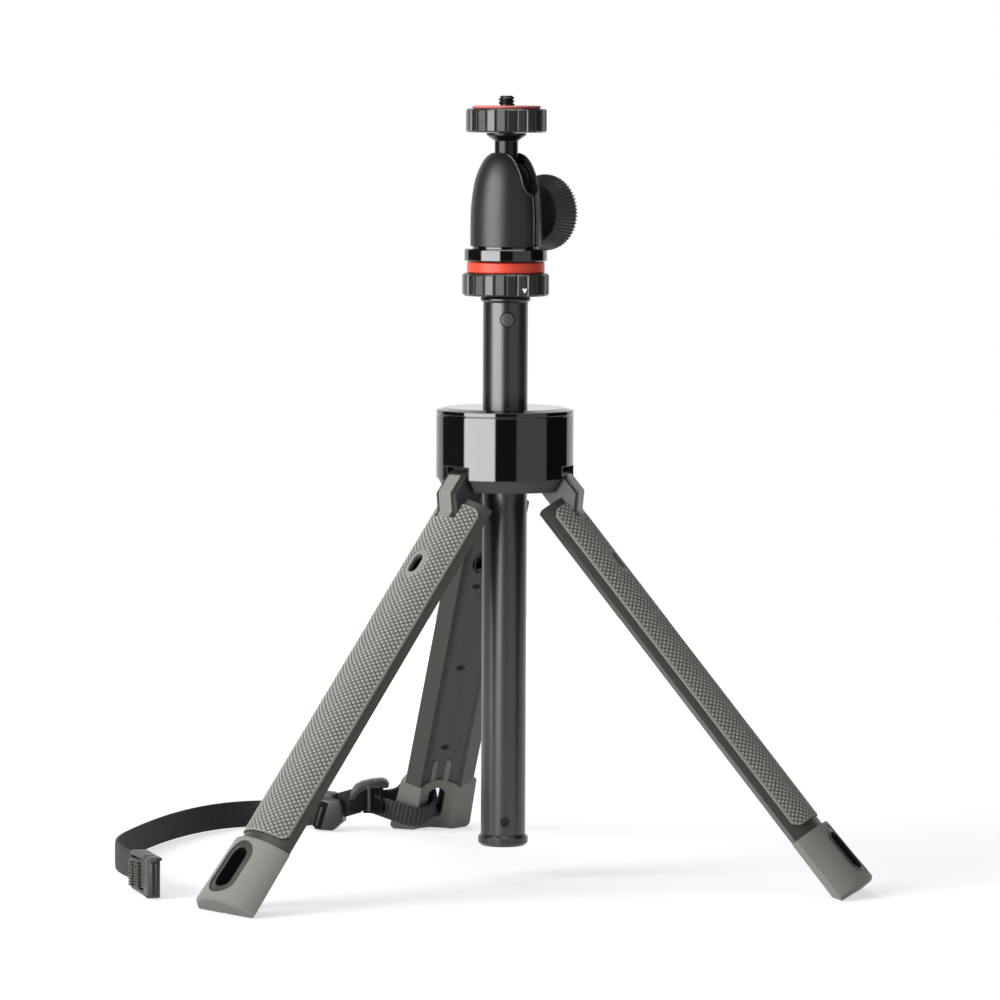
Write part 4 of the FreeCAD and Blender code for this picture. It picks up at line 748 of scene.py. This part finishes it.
def grip_studs(leg):
    """The grip's diamond studs, in a lattice: low grooves cross, and the tops are cut off flat."""
    columns = 4 * int(GRIP_HALF / KNURL_WIDE + 1)
    rows = 4 * int((GRIP_END - GRIP_TOP) / KNURL_LONG / 2 + 1)
    bm = bmesh.new()
    bmesh.ops.create_grid(bm, x_segments=columns, y_segments=rows, size=1)
    half_x, half_y = columns * KNURL_WIDE / 4, rows * KNURL_LONG / 4
    lay = move(0, GRIP_MIDDLE, 0) @ Matrix.Diagonal((half_x, half_y, 1, 1))
    bmesh.ops.transform(bm, matrix=lay, verts=bm.verts)

    def parity(vert):
        column = round((vert.co.x + half_x) / (KNURL_WIDE / 2))
        row = round((vert.co.y - GRIP_MIDDLE + half_y) / (KNURL_LONG / 2))
        return (column + row) % 2

    tops = [v for v in bm.verts if parity(v) == 0]
    for face in bm.faces[:]:
        low = [v for v in face.verts if parity(v) == 1]
        bmesh.utils.face_split(face, *low)
    for top in tops:
        top.co.z = KNURL_RISE
    outside = [t for t in tops if not in_grip_field(t.co.x, t.co.y)]
    kept = {f for t in tops for f in t.link_faces} - {f for t in outside for f in t.link_faces}
    bmesh.ops.delete(bm, geom=[f for f in bm.faces if f not in kept], context="FACES")
    tops = [v for v in bm.verts if v.co.z > KNURL_RISE / 2]
    bmesh.ops.bevel(
        bm, geom=tops, offset=KNURL_TOP, affect="VERTICES", segments=1, profile=0.5, material=-1,
        clamp_overlap=True,
    )
    under = bmesh.ops.extrude_edge_only(bm, edges=[e for e in bm.edges if e.is_boundary])
    skirt = [g for g in under["geom"] if isinstance(g, bmesh.types.BMVert)]
    bmesh.ops.translate(bm, vec=(0, 0, -KNURL_SUNK), verts=skirt)
    # The relief drives the studs' painted shade and highlight.
    relief = bm.verts.layers.float.new(RELIEF)
    for vert in bm.verts:
        vert[relief] = min(max(vert.co.z / KNURL_RISE, 0.0), 1.0)
    bend_round_leg(bm, GRIP_R + KNURL_PROUD)
    add_to_leg(leg, "grip_studs", bm, "stud", None)


def grip_rims(leg):
    """The smooth raised line round the studs, left out where the yoke's notch is."""
    edge = outline_face(
        rounded_outline(GRIP_HALF - RIM_IN, GRIP_TOP + RIM_IN, GRIP_END - RIM_IN, GRIP_CORNER)
    )
    opened(edge, KNURL_MARGIN - RIM_IN, GRIP_MIDDLE)
    extrude_up(edge, RIM_RISE)
    half = YOKE_WIDTH / 2
    for x in (-half, half):
        geom = edge.verts[:] + edge.edges[:] + edge.faces[:]
        bmesh.ops.bisect_plane(edge, geom=geom, plane_co=(x, 0, 0), plane_no=(1, 0, 0))
    centres = {f: f.calc_center_median() for f in edge.faces}
    gone = [f for f, at in centres.items() if abs(at.x) < half and at.y < GRIP_MIDDLE]
    bmesh.ops.delete(edge, geom=gone, context="FACES")
    bend_round_leg(edge, GRIP_R - RIM_SUNK)
    add_to_leg(leg, "grip_rim", edge, "grip")


def recess_floor(y):
    """The radius of the recess round the strap slot, this far down the foot."""
    return FOOT_R + (FOOT_END_R - FOOT_R) * (y - FOOT_TOP) / FOOT_LENGTH - RECESS_DEPTH


def slot_ring(length, width, clear, wall):
    """A flat ring with round ends that fits the slot or its recess with a clearance."""
    half, reach = width / 2 - clear, length / 2 - clear
    outline = rounded_outline(half, SLOT_AT - reach, SLOT_AT + reach, half - NEARLY, 12)
    return opened(outline_face(outline), wall, SLOT_AT)


def line_slot(leg):
    """The dark lining that shows in the foot's recess, and a near-black sleeve in the strap slot, painted shade
    for its depths.
    """
    collar = slot_ring(SLOT_RIM_LENGTH, SLOT_RIM_WIDTH, COLLAR_CLEAR, COLLAR_WALL)
    extrude_up(collar, COLLAR_RISE)
    bend_round_leg(collar, recess_floor)
    add_to_leg(leg, "slot_collar", collar, "shell")
    sleeve = slot_ring(SLOT_LENGTH, SLOT_WIDTH, LINING_CLEAR, LINING_WALL)
    extrude_up(sleeve, -LINING_DEPTH)
    bend_round_leg(sleeve, lambda y: recess_floor(y) + LINING_PROUD)
    add_to_leg(leg, "slot_lining", sleeve, "hollow")


def window_lip(leg):
    """The raised lip round the window in the channel's floor."""
    half, reach = WINDOW_WIDTH / 2 + WINDOW_LIP, WINDOW_LENGTH / 2 + WINDOW_LIP
    outline = rounded_outline(half, WINDOW_AT - reach, WINDOW_AT + reach, half * 0.7, 6, 1.5)
    lip = opened(outline_face(outline), WINDOW_LIP_WALL, WINDOW_AT)
    top = extrude_up(lip, -WINDOW_LIP_RISE)
    rim = [e for e in lip.edges if all(v in top for v in e.verts)]
    bmesh.ops.bevel(
        lip, geom=rim, offset=0.15, affect="EDGES", segments=2, profile=0.5, material=-1
    )
    bend_round_leg(lip, CHANNEL_R + WINDOW_LIP_SUNK)
    add_to_leg(leg, "window_lip", lip, "shell")


def curve_shape(kind, points, **settings):
    """The mesh that a curve makes, from points in the curve's unit and the curve's settings."""
    curve = bpy.data.curves.new("curve", "CURVE")
    curve.dimensions = "3D"
    for key, value in settings.items():
        setattr(curve, key, value)
    spline = curve.splines.new(kind)
    spline.points.add(len(points) - 1)
    for place, point in zip(spline.points, points):
        place.co = (*point, 1.0)
    if kind == "NURBS":
        spline.order_u = 3
        spline.use_endpoint_u = True
    holder = bpy.data.objects.new("curve", curve)
    mesh = bpy.data.meshes.new_from_object(holder)
    bm = bmesh.new()
    bm.from_mesh(mesh)
    bpy.data.objects.remove(holder)
    bpy.data.curves.remove(curve)
    bpy.data.meshes.remove(mesh)
    return bm


def route_line(points):
    """Points in metres along the smooth line that a route's points steer."""
    bm = curve_shape("NURBS", [Vector(point) * MM for point in points], resolution_u=LINE_STEPS)
    line = [vert.co.copy() for vert in bm.verts]
    bm.free()
    return line


def ribbon(name, line, across, look, ribs):
    """Webbing of the rear leg along a line in metres, its width along a direction.

    ribs are the rise and pitch of cross ribs. The UV map is in metres, along and round the band."""
    around, width, thick = RIBBON_SIDES, STRAP_WIDTH * MM, STRAP_THICK * MM
    last = len(line) - 1
    reach = [0.0]
    for a, b in zip(line, line[1:]):
        reach.append(reach[-1] + (b - a).length)
    bm = bmesh.new()
    bmesh.ops.create_grid(bm, x_segments=last, y_segments=around, size=1)
    laid = bm.loops.layers.uv.new("band")

    def station(vert):
        return round((vert.co.x + 1) / 2 * last), round((vert.co.y + 1) / 2 * around)

    stations = {vert: station(vert) for vert in bm.verts}
    girth = 2 * (width + thick)
    for face in bm.faces:
        for loop in face.loops:
            i, k = stations[loop.vert]
            loop[laid].uv = (reach[i], girth * k / around)
    rise, pitch = ribs
    for vert, (i, k) in stations.items():
        turn = 2 * math.pi * k / around
        c, s = math.cos(turn), math.sin(turn)
        side = math.copysign(abs(c) ** 0.8, c) * width / 2
        swell = 1 + rise * (0.5 + 0.5 * math.sin(2 * math.pi * reach[i] / (pitch * MM)))
        out = math.copysign(abs(s) ** 0.35, s) * thick / 2 * swell
        way = line[min(i + 1, last)] - line[max(i - 1, 0)]
        vert.co = line[i] + across * side + way.cross(across).normalized() * out
    bmesh.ops.remove_doubles(bm, verts=bm.verts, dist=1e-6)
    bmesh.ops.holes_fill(bm, edges=[e for e in bm.edges if e.is_boundary], sides=0)
    bmesh.ops.recalc_face_normals(bm, faces=bm.faces)
    bmesh.ops.transform(bm, matrix=Matrix.Scale(1 / MM, 4), verts=bm.verts)
    return add_piece(name, bm, "rear_leg", look, smooth=50)


def plate(points, rise, round_off, segments=2):
    """A flat plate with softened edges from its outline, standing on the plane of X and Y."""
    bm = outline_face(points)
    extrude_up(bm, rise)
    bmesh.ops.recalc_face_normals(bm, faces=bm.faces)
    return soften(bm, round_off, segments)


def soften(bm, round_off, segments):
    """Bevels each edge that turns by more than 30 degrees."""
    turning = [
        e for e in bm.edges if len(e.link_faces) == 2 and e.calc_face_angle(0) > math.radians(30)
    ]
    bmesh.ops.bevel(
        bm, geom=turning, offset=round_off, affect="EDGES", segments=segments, profile=0.5,
        material=-1, clamp_overlap=True,
    )
    return bm


def rounded_box(size, at, round_off, segments=3):
    """A block with rounded edges about a centre."""
    bm = bmesh.new()
    bmesh.ops.create_cube(bm, size=1, matrix=Matrix.Translation(at) @ Matrix.Diagonal((*size, 1)))
    return soften(bm, round_off, segments)


def gathered(parts):
    """One mesh from several, each given alone or with the matrix that places it."""
    whole = bmesh.new()
    for part in parts:
        bm, place = part if isinstance(part, tuple) else (part, Matrix.Identity(4))
        bmesh.ops.transform(bm, matrix=place, verts=bm.verts)
        mesh = bpy.data.meshes.new("part")
        bm.to_mesh(mesh)
        bm.free()
        whole.from_mesh(mesh)
        bpy.data.meshes.remove(mesh)
    return whole


def upright(points, thick, round_off, y=0.0):
    """A plate whose outline is in X and Z, its thickness centred on this Y."""
    place = move(0, y, 0) @ STAND_UP @ move(0, 0, -thick / 2)
    return plate(points, thick, round_off), place


def strap_clip():
    """The clip between the loop and the strap: a hooked cap over a body with upright bars."""
    place = Matrix.Translation(CLIP_AT)
    body = [
        upright(CLIP_HEEL, 8.0, 0.4),
        rounded_box((7.4, 6.4, 9.6), (2.9, 0, 0.2), 0.5),
        rounded_box((9.0, 9.0, 1.5), (2.8, 0, -5.0), 0.5),
        rounded_box((1.3, 9.2, 10.6), (5.9, 0, 0.2), 0.4),
    ]
    hook = [upright(CLIP_CAP, 9.0, 0.7), rounded_box((1.5, 9.2, 11.0), (0.9, 0, 0.4), 0.4)]
    add_hardware("strap_clip_body", body, place, look="hollow")
    clip = add_hardware("strap_clip_hook", hook, place)
    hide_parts("strap_clip")
    return clip


def slanted(size, at):
    """A rounded bar on the adjuster's front, leaning like its edge."""
    lean = Matrix.Translation(at) @ rotate(SLIDER_LEAN, "Y")
    return rounded_box(size, (0, 0, 0), min(size) * 0.45), lean


def strap_slider():
    """The adjuster: a sleeve that widens downwards, with a tab on top and a bar in its open end."""
    a, b = (Vector(p) for p in STRAP_ROUTE[SLIDER_RUN:SLIDER_RUN + 2])
    turn = math.atan2(b.y - a.y, b.x - a.x) + math.pi
    middle = (a + b) / 2
    shell = plate(SLIDER_FRONT, SLIDER_DEPTH, 0.8, 3)
    mouth = [f for f in shell.faces if f.normal.x < -0.8 and f.calc_area() > 20]
    inset(shell, mouth, SLIDER_WALL)
    deep = list({v for f in mouth for v in f.verts})
    bmesh.ops.translate(shell, vec=(4.5, 0.4, 0), verts=deep)
    parts = [
        (shell, STAND_UP @ move(0, 0, -SLIDER_DEPTH / 2)),
        (rounded_box((1.9, 6.6, 9.6), (-3.9, -0.2, -1.4), 0.9, 4), rotate(BAR_LEAN, "Y")),
        upright(SLIDER_TAB, 7.6, 0.5),
        rounded_box((2.2, 8.4, 7.6), (5.4, 0, -0.5), 0.5),
        slanted((1.3, 1.4, 8.6), (-3.1, -5.0, -1.5)),
    ]
    # A thin near-black bar paints the shade in the adjuster's slot.
    slot = [slanted((3.6, 0.6, 11.4), (-2.7, -4.75, -0.9))]
    place = move(middle.x, middle.y, SLIDER_Z) @ Matrix.Rotation(turn, 4, "Z")
    add_hardware("strap_adjuster_slot", slot, place, look="hollow")
    sleeve = add_hardware("strap_adjuster", parts, place)
    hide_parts("strap_slider")
    return sleeve


def buckle_matrix():
    """From a buckle along +X from its pin end to the strap's end."""
    before, end = (Vector(p) for p in STRAP_ROUTE[-2:])
    way = Vector((end.x - before.x, end.y - before.y, 0)).normalized()
    turn = Matrix.Rotation(math.atan2(way.y, way.x), 4, "Z")
    return Matrix.Translation(end - way * BUCKLE_WALL) @ turn


def end_buckle():
    """The buckle's frame: a rounded loop for the strap, a back plate, and a box end with ribs."""
    half, wide = BUCKLE_HEIGHT / 2, BUCKLE_THICK
    outline = rounded_outline(BUCKLE_LOOP_HALF, -half, half, 1.9, run=3.0)
    loop = opened(outline_face(outline), BUCKLE_WALL)
    extrude_up(loop, wide)
    bmesh.ops.recalc_face_normals(loop, faces=loop.faces)
    soften(loop, 0.55, 2)
    parts = [
        (loop, move(BUCKLE_LOOP_HALF, 0, 0) @ STAND_UP @ move(0, 0, -wide / 2)),
        upright(BUCKLE_BACK, 1.3, 0.2, BUCKLE_BACK_AT),
        rounded_box((8.6, 4.8, 14.6), (26.4, -0.9, 0.2), 1.3, 4),
        rounded_box((5.2, 5.4, 1.6), (26.2, -0.8, -6.8), 0.7),
        rounded_box((5.8, 4.6, 1.2), (26.4, 0.2, 7.4), 0.5),
    ]
    parts += [rounded_box((0.9, 0.8, 12.6), (30.7, y, -0.2), 0.3) for y in (-1.9, -0.1)]
    parts += [rounded_box((4.4, 4.4, 1.3), (LEVER_PIN_AT, -0.4, z), 0.5) for z in (-7.0, 7.0)]
    buckle = add_hardware("end_buckle_frame", parts, buckle_matrix())
    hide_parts("end_buckle")
    return buckle


def buckle_lever():
    """The lever: a curled plate with two columns of small teeth to push on."""
    high = BUCKLE_HEIGHT / 2 - BUCKLE_WALL - LEVER_CLEAR
    front = -BUCKLE_THICK / 2 - LEVER_PROUD
    tip, pin = LEVER_TIP_AT, LEVER_PIN_AT
    curl = tip + LEVER_TIP
    side = [
        (tip, front - 1.2), (curl, front - LEVER_FLARE), (pin - 1.0, front + LEVER_SUNK),
        (pin, front + LEVER_SUNK), (pin + 1.6, front + 2.6), (pin + 1.6, front + 4.2),
        (pin, front + 5.0), (pin - 1.7, front + 4.2), (pin - 2.6, front + 3.4),
        (tip + 1.2, front + 0.2),
    ]
    parts = [(plate(side, 2 * high, 0.35), move(0, 0, -high))]
    slope = math.atan2(LEVER_FLARE + LEVER_SUNK, pin - 1.0 - curl)
    face = move(curl, front - LEVER_FLARE, 0) @ Matrix.Rotation(slope, 4, "Z")
    lean = Matrix.Rotation(TOOTH_LEAN, 4, "Y")
    for column in TOOTH_COLUMNS:
        for i in range(LEVER_TEETH):
            z = (i - (LEVER_TEETH - 1) / 2) * (2 * high - 1.4) / (LEVER_TEETH - 1)
            tooth = rounded_box(TOOTH, (0, 0, 0), 0.15, 1)
            parts.append((tooth, face @ move(column, -0.2, z) @ lean))
    parts.append((rounded_box((0.6, 1.0, 2 * high - 0.6), (3.5, -0.2, 0), 0.2, 2), face))
    lever = add_hardware(
        "end_buckle_toothed_lever", parts, buckle_matrix(), "buckle_lever", "knob"
    )
    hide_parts("end_buckle_lever")
    return lever


def dress_strap():
    """The webbing with its hardware, and the loop through the rear foot."""
    hardware = [strap_clip(), strap_slider(), end_buckle(), buckle_lever()]
    line = route_line(STRAP_ROUTE)
    band = ribbon("strap_webbing", line, Vector((0, 0, 1)), "band", STRAP_RIBS)
    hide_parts("strap_band")
    place = leg_matrix("rear")
    laid = [place @ Vector((u, t, below(LOOP_AT))) for u, t in LOOP_ROUTE]
    across = (place.to_3x3() @ Vector((0, 0, 1))).normalized()
    line = route_line(laid)
    loop = ribbon("strap_loop_webbing", line, across, "loop", LOOP_RIBS)
    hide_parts("strap_loop")


def turned_ridges(profile, count, rise):
    """A ring of revolution about +Z with ridges round it, whose valleys are cut off flat."""
    bm = washer(profile, count * 4)
    inner = min(r for r, _ in profile)
    for vert in bm.verts:
        r = math.hypot(vert.co.x, vert.co.y)
        if r > inner + 0.05:
            turn = math.atan2(vert.co.y, vert.co.x) * count
            grown = (r + rise * max(math.cos(turn), KNOB_VALLEY)) / r
            vert.co.x *= grown
            vert.co.y *= grown
    return bm


def dress_knob():
    """The clamp knob's toothed rim, and the round boss in its end."""
    along = head_matrix() @ move(0, 0, CLAMP_Z) @ rotate(-90, "X")
    rim = [
        (KNOB_NEAR_R - 0.6, KNOB_NEAR + 0.5), (KNOB_NEAR_R + 0.2, KNOB_NEAR + 0.1),
        (KNOB_R - 0.1, KNOB_FAR - 0.6), (KNOB_R, KNOB_FAR + 0.3),
        (KNOB_END_R + 0.5, KNOB_END - 0.3), (KNOB_END_R - 0.7, KNOB_END - 0.2),
        (KNOB_NEAR_R - 0.6, KNOB_NEAR + 4.0),
    ]
    teeth = turned_ridges(rim, KNOB_TEETH, KNOB_TOOTH_RISE)
    add_piece("clamp_knob_teeth", teeth, "clamp_knob", "knob", along, HEAD_SMOOTH)
    boss = turned([
        (0, KNOB_END - 0.5), (KNOB_END_R - 2.6, KNOB_END - 0.5),
        (KNOB_END_R - 3.0, KNOB_END + 0.35), (KNOB_END_R - 3.8, KNOB_END + 0.5),
        (3.0, KNOB_END + 0.7), (0, KNOB_END + 0.75),
    ])
    add_piece("clamp_knob_cap", boss, "clamp_knob", "head", along, HEAD_SMOOTH)


def dome_radius(height):
    """The dome's outer radius at a height above its foot, from arcs that run into each other."""
    here, way = DOME_PROFILE[0], Vector((0, 1))
    if height <= here.y:
        return here.x
    for there in DOME_PROFILE[1:]:
        chord = there - here
        inwards = Vector((-way.y, way.x))
        bend = chord.length_squared / (2 * chord.dot(inwards))
        centre = here + inwards * bend
        if height <= there.y:
            break
        out = (there - centre).normalized()
        here, way = there, Vector((-out.y, out.x))
    return centre.x + math.sqrt(bend ** 2 - (height - centre.y) ** 2)


def slot_lips():
    """The rounded edges of the dome's drop slot and of the slit below it, a line down each side, lighter than the
    dome as a painted highlight.
    """
    clear = STEM_SLOT_R + LIP_R
    high = DOME_PROFILE[-1].y - LIP_START
    steps = [(clear, high - LIP_PITCH * i) for i in range(LIP_STRAIGHTS)]
    last = math.acos(SLIT_HALF / clear)
    turns = [last * i / LIP_POINTS for i in range(LIP_POINTS + 1)]
    steps += [(clear * math.cos(turn), BALL_AT - clear * math.sin(turn)) for turn in turns]
    low = steps[-1][1]
    shares = [i / LIP_POINTS for i in range(1, LIP_POINTS + 1)]
    steps += [(SLIT_HALF, low * (1 - share) + LIP_END * share) for share in shares]
    parts = []
    for side in (-1, 1):
        points = [
            (math.sqrt(dome_radius(height) ** 2 - y ** 2), side * y, DOME_Z + height)
            for y, height in steps
        ]
        parts.append(curve_shape(
            "POLY", points, bevel_depth=LIP_R, bevel_resolution=2, use_fill_caps=True
        ))
    lips = gathered(parts)
    add_piece("dome_slot_lips", lips, "pan_head", "lip_highlight", head_matrix(), 60)


def camera_screw():
    """The camera screw: a plain shank, and a thread that runs up to a chamfered tip."""
    seat = DISC_TOP + PAD_THICKNESS
    top = seat + CAMERA_SCREW_PROUD
    foot = DISC_Z - SCREW_SUNK
    root = CAMERA_SCREW_R - THREAD_DEPTH
    shank = turned([
        (0, foot), (SCREW_SHANK_R, foot), (SCREW_SHANK_R, seat - 1.0), (root, seat - 0.9),
        (root, top - 0.3), (root - 0.4, top), (0, top),
    ], THREAD_STEPS)
    ridge = bmesh.new()
    half = THREAD_PITCH / 2
    section = [
        (root - 0.1, -half), (CAMERA_SCREW_R, -THREAD_CREST), (CAMERA_SCREW_R, THREAD_CREST),
        (root - 0.1, half),
    ]
    turns = int((CAMERA_SCREW_PROUD - 0.5) / THREAD_PITCH)
    verts = [ridge.verts.new((r, 0, seat + THREAD_START + z)) for r, z in section]
    edges = [ridge.edges.new(pair) for pair in zip(verts, verts[1:])]
    bmesh.ops.spin(
        ridge, geom=verts + edges, cent=(0, 0, 0), axis=(0, 0, 1), angle=2 * math.pi * turns,
        dvec=(0, 0, THREAD_PITCH / THREAD_STEPS), steps=THREAD_STEPS * turns,
    )
    bmesh.ops.holes_fill(ridge, edges=[e for e in ridge.edges if e.is_boundary], sides=0)
    bmesh.ops.recalc_face_normals(ridge, faces=ridge.faces)
    screw = add_piece(
        "camera_screw_thread", gathered([shank, ridge]), "ball", "dark_steel",
        smooth=HEAD_SMOOTH,
    )
    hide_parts("camera_screw")


def leg_screws(name):
    """The channel's screws: rounded heads with a round socket."""
    parts = []
    for i in range(SCREW_COUNT):
        place = move(CHANNEL_R + SCREW_SEAT, 0, below(SCREW_FIRST + SCREW_PITCH * i))
        parts.append((turned(SCREW_HEAD, 32), place @ rotate(-90, "Y")))
    screws = add_to_leg(
        name, "channel_screws", gathered(parts), "dark_steel", HEAD_SMOOTH
    )
    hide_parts(name + "_leg_screws")


def index_mark():
    """The small white pointer on the lock ring; its glow is painted light."""
    mark = plate([(-1.0, 0.9), (1.0, 0.9), (0, -0.95)], 0.6, 0.05, 1)
    place = rotate(MARK_TURN, "Z") @ move(0, -MARK_R, MARK_Z) @ STAND_UP
    add_piece("lock_ring_pointer", mark, "lock_ring", "mark", place)


def button_surround():
    """The fine raised lip round the release button, bent round the tube."""
    ring = washer([
        (BUTTON_R + 0.05, -0.25), (BUTTON_R + 0.45, -0.25), (BUTTON_R + 0.4, 0.12),
        (BUTTON_R + 0.1, 0.12),
    ], 48)
    for vert in ring.verts:
        x, y, z = vert.co
        turn = x / TUBE_R
        vert.co = ((TUBE_R + z) * math.sin(turn), -(TUBE_R + z) * math.cos(turn), y)
    bmesh.ops.recalc_face_normals(ring, faces=ring.faces)
    place = move(0, 0, BUTTON_Z) @ rotate(POLE_TURN, "Z")
    add_piece("button_surround", ring, "base", "hollow", place, LEG_SMOOTH)


place_camera()
dress_frame()
dress_strap()
for leg in LEGS:
    grip_studs(leg)
    grip_rims(leg)
    line_slot(leg)
    window_lip(leg)
    leg_screws(leg)
dress_knob()
slot_lips()
camera_screw()
index_mark()
button_surround()
light_studio()
hang_lamps()
lay_floor()
